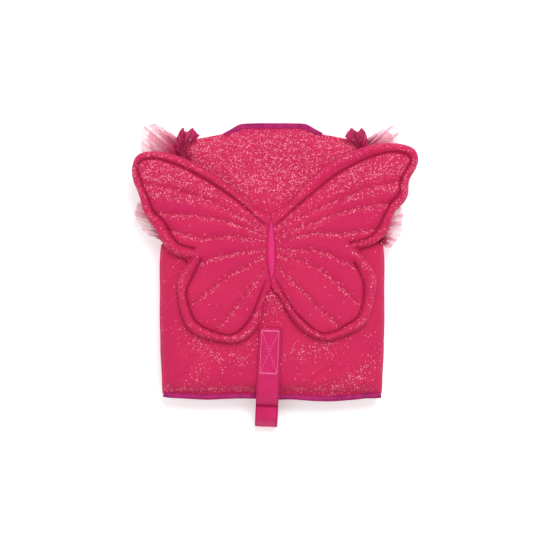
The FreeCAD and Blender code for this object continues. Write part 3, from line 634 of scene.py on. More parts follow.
# lines are in millimetres from the middle of the centre seam
wingCut = {
    'height': 12.0 * mm, 'slab': 8 * mm, 'voxel': 3.0 * mm, 'crownRadius': 15.0 * mm, 'rollRadius': 5.4 * mm,
    'edgeRadius': 4.6 * mm, 'seamFloor': 5.6 * mm, 'edgeMiddle': 4.6 * mm, 'veinDepth': 2.6 * mm,
    'veinWidth': 4.2 * mm, 'veinShift': 1.8 * mm, 'rootHeight': 2.2 * mm, 'rootSlope': 0.34,
    'rootRim': 8.2 * mm, 'meet': 0.15 * mm, 'bandWidth': 2.6 * mm,
    'left': {
        'seams': [[(-4, 33), (-14, 39.5), (-40, 62), (-75.5, 86), (-111, 104.5), (-135, 112),
                   (-152, 111.5), (-160, 103), (-155, 83.5), (-146.5, 64.5), (-141, 50), (-128, 37),
                   (-118.5, 20), (-109, 10), (-92, 5)],
                  [(-84, -8), (-95, -31), (-101, -45.5), (-99.5, -60), (-91, -81), (-74.5, -92),
                   (-51.5, -98.5), (-37, -93), (-22.5, -74.5), (-11.5, -47), (-5.5, -33)]],
        'veins': [[(-8, 26.5), (-40, 44), (-75.5, 61), (-111.5, 73), (-151, 80)],
                  [(-8, 19.5), (-40, 32), (-75.5, 41), (-138, 46.5)],
                  [(-8, 13.5), (-45, 18), (-87.5, 17), (-124, 27)],
                  [(-8, 4), (-61.5, -6), (-84, -14)],
                  [(-8, -6), (-43, -25), (-74.5, -47), (-96, -64)],
                  [(-8, -20.5), (-25.5, -45.5), (-43, -67.5), (-66, -95)]]},
    'right': {
        'seams': [[(3, 32), (12, 39), (33.5, 57.5), (57, 77.5), (81, 95.5), (110.5, 111), (137, 119.5),
                   (158, 119.5), (167.5, 111), (160, 97), (155, 85), (153.5, 71), (143.5, 60),
                   (136.5, 47), (129, 31), (116.5, 18), (95, 12)],
                  [(100, -12), (110.5, -34), (110.5, -57), (104.5, -76), (91, -86), (73.5, -95),
                   (56, -94.5), (32.5, -74.5), (18, -54), (10, -39), (5.5, -32)]],
        'veins': [[(8, 30), (57, 51.5), (104.5, 71.5), (128, 79), (155.5, 84.5)],
                  [(8, 20.5), (51, 35), (75, 44.5), (122.5, 55), (143.5, 57.5)],
                  [(8, 13), (50, 21), (90, 22), (124, 27)],
                  [(9.5, 3.5), (54.5, 1), (80.5, -8), (104, -20.5)],
                  [(9.5, -5), (44.5, -14), (76.5, -35.5), (104, -62)],
                  [(8, -18), (30, -39.5), (53, -63), (82, -90)]]},
}


def fromSpine(points):
    return [(spineX + x * mm, spineY + y * mm) for x, y in lineThrough(points)]


def lineHeights(points, x):
    # how high a line that runs outwards from the spine is at each x
    line = sorted((spineX + px * mm, spineY + py * mm) for px, py in points)
    return np.interp(x, [p[0] for p in line], [p[1] for p in line])


def easing(low, high, value):
    t = np.clip((value - low) / (high - low), 0, 1)
    return t * t * (3 - 2 * t)


def wingPaintedGlints(side, spots, edge, seam):
    # painted glints: the glitter print is painted as catching the light along the quilting lines, over the
    # upper half of each upper panel and along the rim roll
    x, y = spots[:, 0], spots[:, 1]
    veins = wingCut[side]['veins']
    outward = easing(35 * mm, 120 * mm, np.abs(x - spineX))
    lines = treeOf([spot for line in veins for spot in fromSpine(line)])
    amount = 0.95 * groove(reach(lines, spots), wingCut['bandWidth'])
    top = wingCut[side]['seams'][0]
    reachOut = max(range(len(top)), key=lambda i: abs(top[i][0]))
    bounds = [lineHeights(top[:reachOut + 1], x)] + [lineHeights(line, x) for line in veins[:3]]
    for i, (first, last) in enumerate(((0.12, 0.34), (0.45, 0.75), (0.70, 0.9))):
        share = (y - bounds[i + 1]) / np.maximum(bounds[i] - bounds[i + 1], 1 * mm)
        inside = easing(0, 0.02, share) * (share < 1.02)
        cover = easing(first + (0 if i == 0 else 0.25 * (1 - outward)), last + 0.2 * (1 - outward), share)
        amount = np.maximum(amount, inside * cover * (0.35 + 0.65 * outward) * (1.0, 0.95, 0.5)[i])
    amount *= easing(0.5 * mm, 3.5 * mm, seam)
    roll = groove(edge - 4.8 * mm, 3.0 * mm) * (0.45 + 0.5 * bumps(spots, 24 * mm, 30))
    amount = np.maximum(amount, roll)
    return 0.015 + amount * (1 + 0.3 * bumps(spots, 12 * mm, 31))


def buildWing(side, sign):
    backing = "wing_%s_backing" % side
    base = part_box(backing)[0].z
    seams = treeOf([spot for line in wingCut[side]['seams'] for spot in fromSpine(line)])
    veins = treeOf([(x, y + wingCut['veinShift']) for line in wingCut[side]['veins'] for x, y, *_ in
                    fromSpine(line)])
    rimSpots = [spot for spot in rimOf(backing) if abs(spot.x - spineX) > wingCut['rootRim']]
    rim = treeOf(rimSpots)
    piece = padOver("wing" + side.title(), backing, wingCut['slab'], base, wingCut['voxel'])
    spots = places(piece)
    share = np.clip((spots[:, 2] - base) / wingCut['slab'], 0, 1)
    for i, spot in enumerate(spots):
        _, index, gap = rim.find((spot[0], spot[1], 0))
        if gap < 1.0 * mm:
            spots[i, 0:2] = rimSpots[index].xy
    # the root is drawn in so that the two wings meet under the ribbon
    out = np.abs(spots[:, 0] - spineX)
    drawn = wingCut['meet'] + (out - 7.5 * mm) * (18 * mm - wingCut['meet']) / (10.5 * mm)
    held = easing(-26 * mm, -12 * mm, spots[:, 1])
    drawn = out + (np.maximum(drawn, wingCut['meet']) - out) * held
    out = np.where(out < 18 * mm, drawn, out)
    edge = reach(rim, spots)
    spots[:, 0] = spineX + sign * out
    seam = np.minimum(edge, reach(seams, spots))
    vein = reach(veins, spots)
    floor = wingCut['seamFloor']
    wider = wingCut['crownRadius'] - wingCut['rollRadius']
    radius = wingCut['rollRadius'] + wider * easing(8 * mm, 11 * mm, edge)
    top = floor + (wingCut['height'] - floor) * crown(seam, radius)
    top -= wingCut['veinDepth'] * groove(vein, wingCut['veinWidth']) * np.clip(out / (40 * mm), 0.25, 1)
    top = np.minimum(top, wingCut['rootHeight'] + out * wingCut['rootSlope'])
    middle = np.minimum(wingCut['edgeMiddle'], top * 0.5)
    roll = crown(edge, wingCut['edgeRadius'])
    upper = middle + (top - middle) * roll
    lower = middle * (1 - roll)
    spots[:, 2] = base + lower + (upper - lower) * share
    putPlaces(piece, spots)
    pins = np.maximum(groove(seam, 3.0 * mm), groove(vein, 3.0 * mm) * 0.8)
    pins = np.where((share < 0.35) | (out < 16 * mm), 1.0, np.maximum(pins, 0.08))
    inflate(piece, 1.2, pins, 1.6 * mm)
    modified(piece, 'SUBSURF', levels=2, render_levels=2)
    spots = places(piece)
    out = np.abs(spots[:, 0] - spineX)
    edge = reach(rim, spots)
    seam = reach(seams, spots)
    vein = reach(veins, spots)
    upside = np.clip((spots[:, 2] - base - 2.2 * mm) / (3 * mm), 0, 1)
    sink = groove(seam, 1.1 * mm) * 2.9 * mm + groove(vein, 1.1 * mm) * 0.7 * mm
    pucker = bumps(spots, 4.5 * mm, 2) * groove(np.minimum(seam, vein * 1.4), 5 * mm) * 0.4 * mm
    soft = bumps(spots, 22 * mm, 8) * 0.7 * mm + bumps(spots, 9 * mm, 9) * 0.2 * mm
    spots[:, 2] += upside * (pucker + soft - sink)
    ceiling = wingCut['rootHeight'] + out * wingCut['rootSlope'] + 0.2 * mm
    spots[:, 2] = np.minimum(spots[:, 2], base + np.minimum(ceiling, 13.2 * mm))
    putPlaces(piece, spots)
    smoothShaded(piece)
    # painted shade in the quilting seams and, more faintly, in the vein grooves
    seamShade = 0.50 * upside * groove(seam, 1.4 * mm) * easing(2.5 * mm, 5 * mm, edge)
    seamShade += 0.25 * upside * groove(vein, 1.0 * mm)
    paintGlintsAndSeamShade(piece, wingPaintedGlints(side, spots, edge, seam), seamShade)
    finished(piece, glitterPrint, None, "glitter_cloth", backing,
             "wing_%s_cover" % side, "wing_%s_padding" % side)
    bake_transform(piece)


for side, sign in bothSides:
    buildWing(side, sign)
print("wings ready")


def swept(name, path, section, upright=False):
    # a closed section of (outward, upward) offsets carried along a path; the UV map counts millimetres
    # across and along it. An upright path runs in a Y-Z plane, with its sections lying across X.
    mesh = bmesh.new()
    layer = mesh.loops.layers.uv.new("UVMap")
    count = len(path)
    rings, along = [], 0.0
    marks = [0.0]
    for i in range(1, count):
        along += (Vector(path[i]) - Vector(path[i - 1])).length / mm
        marks.append(along)
    for i, spot in enumerate(path):
        before = Vector(path[max(i - 1, 0)])
        after = Vector(path[min(i + 1, count - 1)])
        run = (after - before).normalized()
        if upright:
            out, up = Vector((1, 0, 0)), Vector((0, -run.z, run.y))
        else:
            out, up = Vector((run.y, -run.x, 0)).normalized(), Vector((0, 0, 1))
        offsets = section(i / (count - 1)) if callable(section) else section
        rings.append([mesh.verts.new(Vector(spot) + out * a + up * b) for a, b in offsets])
    offsets = section(0.5) if callable(section) else section
    size = len(offsets)
    for i in range(count - 1):
        for k in range(size):
            a, b = rings[i][k], rings[i][(k + 1) % size]
            c, d = rings[i + 1][(k + 1) % size], rings[i + 1][k]
            face = mesh.faces.new((a, b, c, d))
            acrossA, acrossB = offsets[k][0] / mm, offsets[(k + 1) % size][0] / mm
            start, end = marks[i], marks[i + 1]
            corners = ((acrossA, start), (acrossB, start), (acrossB, end), (acrossA, end))
            for loop, uv in zip(face.loops, corners):
                loop[layer].uv = uv
    mesh.faces.new(rings[0][::-1])
    mesh.faces.new(rings[-1])
    mesh.normal_update()
    bmesh.ops.recalc_face_normals(mesh, faces=mesh.faces)
    return smoothShaded(meshed(name, mesh), 50)


def foldedTape(width, thick):
    # the section of a tape wrapped over an edge: outermost point at 0, free edge at -width
    plump, steps = 0.55, 18
    ring = []
    for k in range(steps):
        t = 2 * math.pi * k / steps
        c, s = math.cos(t), math.sin(t)
        ring.append((-width / 2 + width / 2 * math.copysign(abs(c) ** plump, c),
                     thick / 2 * math.copysign(abs(s) ** plump, s)))
    return ring


def flatWeb(width, thick, steps=10):
    # the section of a flat web with rounded selvedges
    top = [(-width / 2 + width * k / steps, thick / 2) for k in range(steps + 1)]
    top[0] = (top[0][0] + 0.05 * mm, thick * 0.22)
    top[-1] = (top[-1][0] - 0.05 * mm, thick * 0.22)
    return top + [(a, -b) for a, b in top[::-1]]


def wavy(path, height, side, seed):
    spots = np.array([tuple(p) for p in path])
    spots[:, 2] += bumps(spots, 31 * mm, seed) * height
    spots[:, 1] += bumps(spots, 23 * mm, seed + 1) * side
    return spots


def stitchRow(name, spots, material, body, slot, length=2.0 * mm, thick=0.42 * mm, *nodes):
    # spots hold (place, direction); one small rounded stitch is shaped and copied to each
    bpy.ops.object.select_all(action='DESELECT')
    bpy.ops.mesh.primitive_cylinder_add(vertices=6, radius=thick, depth=length * 0.62)
    stitch = bpy.context.object
    bpy.ops.object.mode_set(mode='EDIT')
    mesh = bmesh.from_edit_mesh(stitch.data)
    for face in mesh.faces:
        face.select_set(abs(face.normal.z) > 0.9)
    bmesh.update_edit_mesh(stitch.data)
    bpy.ops.mesh.extrude_faces_move(MESH_OT_extrude_faces_indiv={}, TRANSFORM_OT_shrink_fatten={"value": 0})
    mesh = bmesh.from_edit_mesh(stitch.data)
    for face in mesh.faces:
        if face.select:
            middle = face.calc_center_median()
            for vert in face.verts:
                tip = Vector((0, 0, math.copysign(length * 0.19, middle.z)))
                vert.co = middle + (vert.co - middle) * 0.45 + tip
    bmesh.update_edit_mesh(stitch.data)
    bpy.ops.object.mode_set(mode='OBJECT')
    corners = [v.co.copy() for v in stitch.data.vertices]
    faces = [tuple(p.vertices) for p in stitch.data.polygons]
    bpy.data.objects.remove(stitch)
    points, polygons = [], []
    for place, run in spots:
        turn = Vector(run).to_track_quat('Z', 'Y')
        start = len(points)
        points += [Vector(place) + turn @ corner for corner in corners]
        polygons += [tuple(start + i for i in face) for face in faces]
    piece = smoothShaded(cleaned(listed(name, points, polygons), 0.00001))
    return finished(piece, material, body, slot, *nodes)


def spaced(path, gap):
    # (place, direction) pairs at even steps along a path
    points = [Vector(p) for p in path]
    found, left = [], gap / 2
    for a, b in zip(points, points[1:]):
        run = b - a
        at = left
        while at <= run.length:
            found.append((a + run * (at / run.length), run.normalized()))
            at += gap
        left = at - run.length
    return found


binding = {'width': 7.0 * mm, 'thick': 5.0 * mm, 'height': 29.9 * mm,
           'neck': [(-59.0, 171.0), (-50, 176.0), (-38, 182.2), (-20, 183.3), (0, 183.4), (24, 183.3),
                    (40, 182.4), (51, 176.8), (61, 171.6)],
           'hem': [(-131.8, -147.0), (-122, -148.6), (-100, -149.8), (-78, -150.6), (-55, -149.8),
                   (-28, -149.2), (-4, -150.4), (20, -150.6), (42, -151.8), (66, -152.8), (90, -151.6),
                   (112, -149.4), (124, -149.0), (132.0, -148.2)],
           'armhole': [(108.4, 158.5), (102.2, 146), (101.4, 132), (98.8, 116), (98.2, 100), (101, 82),
                       (106.8, 66), (119, 51), (133.4, 41.0)],
           'tapered': 0.10, 'hemWidth': 6.8 * mm, 'armWidth': 6.0 * mm, 'armThick': 4.6 * mm,
           'chestWidth': 6.4 * mm, 'chestThick': 4.8 * mm}


def vestPath(points, height, mirror=1):
    return [(vestX + mirror * x * mm, y * mm, height) for x, y in lineThrough(points, 2.0)]


def taperedTape(width, thick, ends):
    def section(t):
        narrow = min(1, 0.25 + 0.75 * math.sin(min(t, 1 - t, ends) / ends * math.pi / 2))
        return foldedTape(width * narrow, thick * (0.6 + 0.4 * narrow))
    return section


def bindEdge(name, path, section, body, node):
    finished(swept(name, path, section), bindingTape, body, "binding_tape", node)


neckPath = wavy(vestPath(binding['neck'][::-1], binding['height'] + 0.4 * mm), 0.5 * mm, 0.3 * mm, 40)
neckSection = taperedTape(binding['width'], binding['thick'], binding['tapered'])
bindEdge("neckTape", neckPath, neckSection, "vest", "neck_binding")
hemPath = wavy(vestPath(binding['hem'], binding['height']), 0.9 * mm, 0.5 * mm, 44)
hemSection = foldedTape(binding['hemWidth'], binding['thick'])
bindEdge("hemTape", hemPath, hemSection, "vest", "back_hem_binding")
hemRow = [(Vector(p) + Vector((0, 4.1 * mm, binding['thick'] * 0.47)), run)
          for p, run in spaced(hemPath, 3.1 * mm)]
stitchRow("hemStitches", hemRow, hemThread, "vest", "thread", 1.7 * mm, 0.36 * mm)
neckRow = [(Vector(p) + Vector((0, -5.2 * mm, binding['thick'] * 0.45)), run)
           for p, run in spaced(neckPath[12:-12], 2.8 * mm)]
stitchRow("neckStitches", neckRow, darkThread, "vest", "thread", 1.7 * mm, 0.34 * mm)
for side, sign in bothSides:
    armPath = vestPath(binding['armhole'], binding['height'], sign)
    if sign > 0:
        armPath = armPath[::-1]
    bindEdge(side + "ArmholeTape", wavy(armPath, 0.5 * mm, 0.3 * mm, 50),
             foldedTape(binding['armWidth'], binding['armThick']), "vest", side + "_armhole_binding")
print("bindings ready")


sidePanel = {'voxel': 1.1 * mm, 'bulge': 1.9 * mm, 'wrap': 3.0 * mm, 'lean': 2.4 * mm, 'smooth': 9}


def buildSide(side, sign):
    node = side + "_side_panel"
    low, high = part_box(node)
    piece = copyOf(node, side + "SidePanel")
    modified(piece, 'REMESH', mode='VOXEL', voxel_size=sidePanel['voxel'])
    modified(piece, 'SMOOTH', factor=0.6, iterations=sidePanel['smooth'])
    spots = places(piece)
    out = (spots[:, 0] - vestX) * sign
    middle = (spots[:, 2] - low.z) / (high.z - low.z)
    hump = np.sin(np.clip(middle, 0, 1) * math.pi) ** 0.8
    edge = np.clip((out - 122 * mm) / (6 * mm), 0, 1) * np.clip((48 * mm - spots[:, 1]) / (20 * mm), 0, 1)
    uneven = 0.8 * mm * bumps(spots * (0, 1, 1), 30 * mm, 60)
    spots[:, 0] += sign * edge * (hump * sidePanel['bulge'] + uneven)
    spots[:, 2] += edge * np.clip(middle * 2 - 1, 0, 1) * sidePanel['wrap']
    spots[:, 0] -= sign * edge * np.clip(middle * 3 - 2, 0, 1) ** 2 * sidePanel['lean']
    spots[:, 0] -= sign * edge * np.clip(1 - middle * 5, 0, 1) ** 2 * sidePanel['lean'] * 0.8
    spots[:, 2] += 0.5 * mm * bumps(spots * (1, 1, 0), 24 * mm, 61) * np.clip(1 - middle * 4, 0, 1)
    putPlaces(piece, spots)
    smoothShaded(piece)
    paintGlintsAndSeamShade(piece, 0.12 + 0.25 * np.maximum(bumps(spots, 26 * mm, 62), 0))
    finished(piece, glitterPrint, "vest", "glitter_cloth", node)


for side, sign in bothSides:
    buildSide(side, sign)
print("sides ready")


chestPad = {'slabHeight': 13 * mm, 'voxel': 4.0 * mm, 'edge': 1.9 * mm, 'roll': 13 * mm, 'depth': 14.2 * mm}


def insidePolygon(polygon, spots):
    within = np.zeros(len(spots), bool)
    x, y = spots[:, 0], spots[:, 1]
    for (ax, ay), (bx, by) in zip(polygon, polygon[1:] + polygon[:1]):
        crossing = ((ay > y) != (by > y)) & (x < (bx - ax) * (y - ay) / (by - ay + 1e-12) + ax)
        within ^= crossing
    return within


chestFoam = [(20.5, 106.5), (20.5, -82), (51, -82), (51, -137), (100, -137), (62, 106.5)]


def buildChest(side, sign):
    plate = "front_%s_lining" % side
    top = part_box(plate)[1].z
    piece = padOver(side + "ChestPad", plate, -chestPad['slabHeight'], top, chestPad['voxel'])
    polygon = [(vestX + sign * x * mm, y * mm) for x, y in chestFoam]
    border = treeOf([(ax + (bx - ax) * t / 60, ay + (by - ay) * t / 60) for (ax, ay), (bx, by) in
                     zip(polygon, polygon[1:] + polygon[:1]) for t in range(60)])
    spots = places(piece)
    share = np.clip((top - spots[:, 2]) / chestPad['slabHeight'], 0, 1)
    inner = np.where(insidePolygon(polygon, spots), reach(border, spots), 0)
    fall = chestPad['edge'] + (chestPad['depth'] - chestPad['edge']) * crown(inner, chestPad['roll'])
    spots[:, 2] = top - share * fall
    putPlaces(piece, spots)
    pins = np.where(share < 0.4, 1.0, np.where(inner < 3 * mm, 1.0, 0.25))
    inflate(piece, 0.3, pins, 0.8 * mm)
    modified(piece, 'SUBSURF', levels=1, render_levels=1)
    spots = places(piece)
    share = np.clip((top - spots[:, 2] - 3 * mm) / (7 * mm), 0, 1)
    spots[:, 2] += share * (0.5 * mm + 0.5 * mm * bumps(spots, 30 * mm, 70 + sign))
    spots[:, 2] = np.maximum(spots[:, 2], 0.05 * mm)
    putPlaces(piece, spots)
    smoothShaded(piece)
    paintGlintsAndSeamShade(piece, 0.35 + 0.6 * bumps(spots, 40 * mm, 72))
    lined(piece, 1, top - 1.2 * mm)
    finished(piece, None, "front_" + side, "glitter_cloth", "front_%s_shell" % side,
             "front_%s_foam" % side, plate)


def foldPlace(y, out):
    # a point beside the fold line of a chest panel
    share = (y + 149) / 320
    return 108.5 - 50 * share + out, y


for side, sign in bothSides:
    body = "front_" + side
    buildChest(side, sign)
    hemLine = [(vestX + sign * x * mm, -145.6 * mm, 13.5 * mm) for x in np.arange(9.6, 103, 2)]
    collarLine = vestPath([(51.5, 164.8), (46, 158), (41, 152.4), (33, 147), (24, 143.2), (9.6, 140.2)],
                          13.5 * mm, sign)
    if sign < 0:
        hemLine, collarLine = hemLine[::-1], collarLine[::-1]
    section = foldedTape(binding['chestWidth'], binding['chestThick'])
    bindEdge(side + "ChestHemTape", wavy(hemLine, 0.4 * mm, 0.3 * mm, 80), section,
             body, body + "_hem_binding")
    bindEdge(side + "CollarTape", wavy(collarLine[::-1], 0.4 * mm, 0.3 * mm, 82), section,
             body, body + "_neck_binding")
    foldLine = [foldPlace(y, 0) for y in np.arange(-143, 163, 3)]
    foldLine = [(vestX + sign * x * mm, y * mm, 13.2 * mm) for x, y in foldLine]
    seam = swept(side + "FoldSeam", foldLine, flatWeb(9.0 * mm, 1.5 * mm, 12))
    seam.data.materials.append(glitterPrint)
    paintGlintsAndSeamShade(seam, np.full(len(seam.data.vertices), 0.12))
    finished(seam, None, None, "glitter_cloth")
    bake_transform(seam)
print("chest ready")


ribbon = {'half': 5.2 * mm, 'crown': 1.1 * mm, 'raise': 1.9 * mm, 'steps': 64, 'across': 8,
          'zigzag': 2.3 * mm}


def ribbonHalf(t):
    return ribbon['half'] * max(math.sin(math.pi * t), 0.02) ** 0.62


def buildRibbon():
    low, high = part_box("body_ribbon")
    mesh = bmesh.new()
    rows = []
    for i in range(ribbon['steps'] + 1):
        t = i / ribbon['steps']
        y = high.y + (low.y - high.y) * t
        x = spineX + 0.8 * mm * t + 0.25 * mm * math.sin(9 * t)
        half = ribbonHalf(t)
        row = []
        for k in range(ribbon['across'] + 1):
            u = -1 + 2 * k / ribbon['across']
            lift = math.sqrt(1 - min(u * u, 0.97)) * ribbon['crown'] * (0.55 + 0.45 * half / ribbon['half'])
            height = low.z + ribbon['raise'] * math.sin(math.pi * t) ** 0.4 + lift
            row.append(mesh.verts.new((x + u * half, y, height)))
        rows.append(row)
    for a, b in zip(rows, rows[1:]):
        for k in range(ribbon['across']):
            mesh.faces.new((a[k], b[k], b[k + 1], a[k + 1]))
    piece = cleaned(meshed("ribbon", mesh))
    modified(piece, 'SOLIDIFY', thickness=0.9 * mm, offset=-1)
    modified(piece, 'SUBSURF', levels=1, render_levels=1)
    smoothShaded(piece)
    finished(piece, ribbonSatin, "vest", "satin_ribbon", "body_ribbon")
    zigzag = []
    count = int((high.y - low.y) / ribbon['zigzag'] * 2)
    for sign in (-1, 1):
        for i in range(1, count - 1):
            t = i / count
            x = spineX + 0.8 * mm * t + sign * (ribbonHalf(t) - 0.35 * mm)
            y = high.y + (low.y - high.y) * t
            slant = 1 if i % 2 else -1
            height = low.z + ribbon['raise'] * math.sin(math.pi * t) ** 0.4 + 0.55 * mm
            zigzag.append(((x, y, height), (slant * 0.85, 0.55, 0.25 * -sign * slant)))
    stitchRow("ribbonStitches", zigzag, darkThread, "vest", "thread", 1.7 * mm, 0.30 * mm)
    seamStrip = swept("seamStrip", [(spineX, y * mm, 45.75 * mm) for y in np.arange(-15, 68, 3)],
                      flatWeb(8.4 * mm, 0.8 * mm))
    seamStrip.data.materials.append(glitterPrint)
    paintGlintsAndSeamShade(seamStrip, np.full(len(seamStrip.data.vertices), 0.1))
    finished(seamStrip, None, "vest", "glitter_cloth", "wing_seam_strip")


buildRibbon()
print("ribbon ready")


strap = {'x': -5.4 * mm, 'y': -63.5 * mm, 'turn': math.radians(-2.6),
         'width': 27.6 * mm, 'tailWidth': 25.4 * mm, 'thick': 1.7 * mm,
         'route': [(0, 46.3), (-40, 46.5), (-76, 46.4), (-88.5, 39.5), (-92.8, 29.5), (-93.6, 24.5),
                   (-97.5, 28.6), (-105, 29.8), (-111.5, 27.5), (-121.5, 15.5), (-117.5, 3.4),
                   (-99, 1.6), (-92.5, 14.5), (-84, 20.7), (-60, 20.9), (20, 20.9), (58, 20.9)]}


def eased(points, rounds):
    for _ in range(rounds):
        cut = [points[0]]
        for (ax, ay), (bx, by) in zip(points, points[1:]):
            cut += [(ax * 0.78 + bx * 0.22, ay * 0.78 + by * 0.22),
                    (ax * 0.22 + bx * 0.78, ay * 0.22 + by * 0.78)]
        points = cut + [points[-1]]
    return points


def turned(piece):
    # from the strap's own line to its place on the back
    spots = places(piece)
    c, s = math.cos(strap['turn']), math.sin(strap['turn'])
    x, y = spots[:, 0].copy(), spots[:, 1].copy()
    spots[:, 0] = strap['x'] + x * c - y * s
    spots[:, 1] = strap['y'] + x * s + y * c
    putPlaces(piece, spots)
    return piece


def buildStrap():
    line = []
    cut = eased([(a * mm, b * mm) for a, b in strap['route']], 3)
    for (ay, az), (by, bz) in zip(cut, cut[1:]):
        steps = max(1, int(math.hypot(by - ay, bz - az) / (1.5 * mm)))
        line += [(0, ay + (by - ay) * i / steps, az + (bz - az) * i / steps) for i in range(steps)]
    line.append((0, *cut[-1]))

    def section(t):
        width = strap['width'] + (strap['tailWidth'] - strap['width']) * easing(0.58, 0.66, t)
        ring = flatWeb(width, strap['thick'], 16)
        return [(a, b + 0.10 * mm * math.sin(a / width * 9 + t * 40)) for a, b in ring]

    piece = turned(swept("crotchStrap", line, section, upright=True))
    modified(piece, 'SUBSURF', levels=1, render_levels=1)
    finished(piece, strapWebbing, "vest", "strap_webbing", "crotch_strap")
    height = 47.15 * mm
    half, first, last = 10.4 * mm, -3.6 * mm, -54.5 * mm
    corners = [(-half, first), (half, first), (half, last), (-half, last), (-half, first)]
    rows = []
    for a, b in zip(corners, corners[1:]):
        rows += spaced([(*a, height), (*b, height)], 2.5 * mm)
    rows += spaced([(-half, first, height), (half, last, height)], 3.6 * mm)
    rows += spaced([(half, first, height), (-half, last, height)], 3.6 * mm)
    for bar in (first, last):
        rows += [((x * mm, bar, height + 0.2 * mm), (0.35, 0.9, 0)) for x in np.arange(-10, 10.4, 0.9)]
    box = stitchRow("boxStitch", rows, paleThread, "vest", "thread", 2.1 * mm, 0.45 * mm, "strap_stitching")
    turned(box)


buildStrap()
print("strap ready")


ruffle = {
    'line': [(109.5, 160), (104, 146), (101.5, 132), (98.5, 110), (101, 84), (107, 66), (119, 52), (134, 41)],
    'pleats': 9, 'lift': 3.6 * mm, 'fold': 8.6 * mm, 'rows': 14, 'columns': 420,
    'fullness': 1.0, 'paleAt': 50,
    'left': {'Under': [(116, 168), (130, 177), (146, 181), (157, 174), (155, 150), (150, 122), (155, 100),
                       (163, 84), (164, 68), (156, 53), (146, 47), (136, 45)],
             'Over': [(112, 164), (126, 172), (142, 174), (149, 163), (146, 148), (142, 122), (146, 100),
                      (150, 84), (150, 70), (146, 58), (140, 50), (135, 45)]},
    'right': {'Under': [(116, 166), (130, 174), (146, 179), (152, 170), (150, 150), (146, 122), (148, 100),
                        (154, 84), (157, 66), (152, 46), (142, 33), (136, 34)],
              'Over': [(112, 163), (124, 169), (139, 173), (145, 163), (142, 148), (139, 122), (142, 100),
                       (147, 84), (149, 68), (145, 52), (139, 42), (135, 40)]},
    'height': {'Under': 31.0 * mm, 'Over': 37.0 * mm}, 'base': 32.3 * mm,
}

bunch = {
    'line': [(109, 141), (108, 147), (106, 151), (103, 154), (99, 156)],
    'rim': [(115, 152), (114, 166), (108, 176), (102, 172), (96, 176), (88, 168)],
    'base': 40.5 * mm, 'height': 43.2 * mm, 'pleats': 6, 'fullness': 0.55, 'paleAt': 13, 'columns': 150,
}


def evenly(points, count, mirror):
    line = lineThrough(points)
    picks = np.linspace(0, len(line) - 1, count)
    x = np.interp(picks, range(len(line)), [p[0] for p in line])
    y = np.interp(picks, range(len(line)), [p[1] for p in line])
    return vestX + mirror * x * mm, y * mm


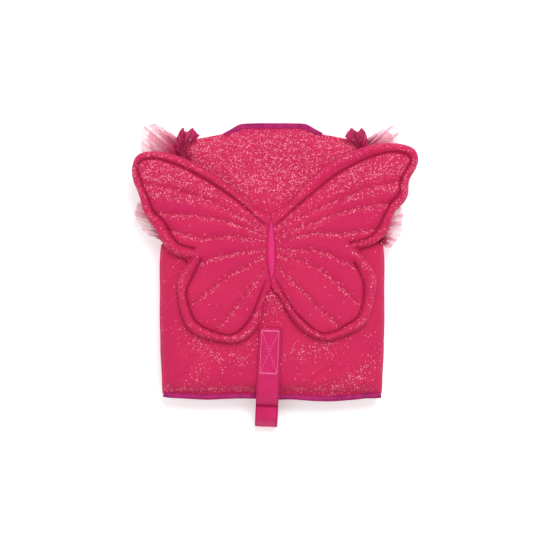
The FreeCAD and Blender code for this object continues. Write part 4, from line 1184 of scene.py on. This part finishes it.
def buildRuffle(name, sign, net, rim, height, pleats, seed, *nodes):
    # a strip of net gathered along its line; paleAt says how far out its rim counts for the colour that fades
    # from painted shade at the gathered edge to pale
    rows, columns, fullness, base = ruffle['rows'], net['columns'], net['fullness'], net['base']
    ax, ay = evenly(net['line'], columns, sign)
    bx, by = evenly(rim, columns, sign)
    share = np.linspace(0, 1, columns)
    wander = np.array([noise.noise(Vector((t * 9, seed, 0))) for t in share])
    ragged = np.array([noise.noise(Vector((t * 16, seed, 3))) + 0.35 * noise.noise(Vector((t * 90, seed, 5)))
                       for t in share])
    swing = 2 * math.pi * (pleats * share + 0.9 * wander)
    runX, runY = np.gradient(bx), np.gradient(by)
    run = np.hypot(runX, runY)
    runX, runY = runX / run, runY / run
    points, uvs = [], []
    for i in range(rows + 1):
        t = i / rows
        far = t * (1 + 0.08 * ragged * t)
        ease = min(1, t * 1.6)
        x = ax + (bx - ax) * far + runX * np.sin(2 * swing) * ruffle['fold'] * fullness * ease * 0.5
        y = ay + (by - ay) * far + runY * np.sin(2 * swing) * ruffle['fold'] * fullness * ease * 0.5
        z = base + (height - base) * min(1, t * 2.2)
        z = z + np.cos(swing) * ruffle['lift'] * fullness * ease * (1 + 0.35 * wander) + 1.2 * mm * wander * t
        points += list(zip(x, y, z))
        uvs += list(zip(share * pleats * 17, np.full(columns, net['paleAt'] * t)))
    faces = [(i * columns + k, i * columns + k + 1, (i + 1) * columns + k + 1, (i + 1) * columns + k)
             for i in range(rows) for k in range(columns - 1)]
    piece = listed(name, points, faces)
    layer = piece.data.uv_layers.new(name="UVMap")
    for loop in piece.data.loops:
        layer.data[loop.index].uv = uvs[loop.vertex_index]
    smoothShaded(cleaned(piece, None))
    area = sum(face.area for face in piece.data.polygons)
    finished(piece, ruffleNet, "vest", "tulle", *nodes)
    deep = float(np.mean(np.hypot(bx - ax, by - ay)))
    print(name, "net area", round(area * 1e4, 1), "cm2, depth", round(deep * 1e3, 1), "mm")
    return piece


for side, sign in bothSides:
    for seed, layer in enumerate(("Under", "Over")):
        sheet = buildRuffle(side + "Ruffle" + layer, sign, ruffle, ruffle[side][layer],
                            ruffle['height'][layer], ruffle['pleats'] + 2 * seed, seed + 2.5 * sign,
                            "%s_ruffle_%s" % (side, layer.lower()))
    tuft = buildRuffle(side + "ShoulderTuft", sign, bunch, bunch['rim'], bunch['height'],
                       bunch['pleats'], 6 + sign)
print("ruffles ready")


def refinish(node, material):
    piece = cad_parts[node]
    for slot in piece.material_slots:
        slot.material = material
    if not piece.material_slots:
        piece.data.materials.append(material)


for node in ("zip_slider", "zip_pull", "front_left_zip_teeth", "front_right_zip_teeth"):
    refinish(node, zipPlastic)
for node in ("buckle_plug", "buckle_prong_left", "buckle_prong_right", "strap_adjuster", "buckle_socket"):
    refinish(node, bucklePlastic)
for side in ("left", "right"):
    node = "front_%s_zip_tape" % side
    low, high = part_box(node)
    middle = (low + high) / 2
    tapeLine = [(middle.x, y, middle.z) for y in np.linspace(low.y, high.y, 90)]
    tape = swept(side + "ZipTape", wavy(tapeLine, 0.12 * mm, 0, 90), flatWeb(high.x - low.x, 1.0 * mm, 12))
    finished(tape, zipTapeCloth, "front_" + side, "zip_tape_cloth", node)

low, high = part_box("buckle_socket_webbing")
webX = (low.x + high.x) / 2
webRoute = [(low.y + 0.8 * mm, low.z + 2.2 * mm), (low.y + 4 * mm, low.z + 1.2 * mm),
            (low.y + 9 * mm, low.z + 2.0 * mm), (high.y - 6 * mm, high.z - 1.2 * mm),
            (high.y, high.z - 0.9 * mm)]
webLine = [(webX, y, z) for y, z in eased(webRoute, 3)]
socketWeb = swept("socketWebbing", webLine, flatWeb(25.4 * mm, 1.7 * mm, 14), upright=True)
finished(socketWeb, strapWebbing, "front_left", "strap_webbing", "buckle_socket_webbing")
print("hardware ready")

low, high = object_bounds()
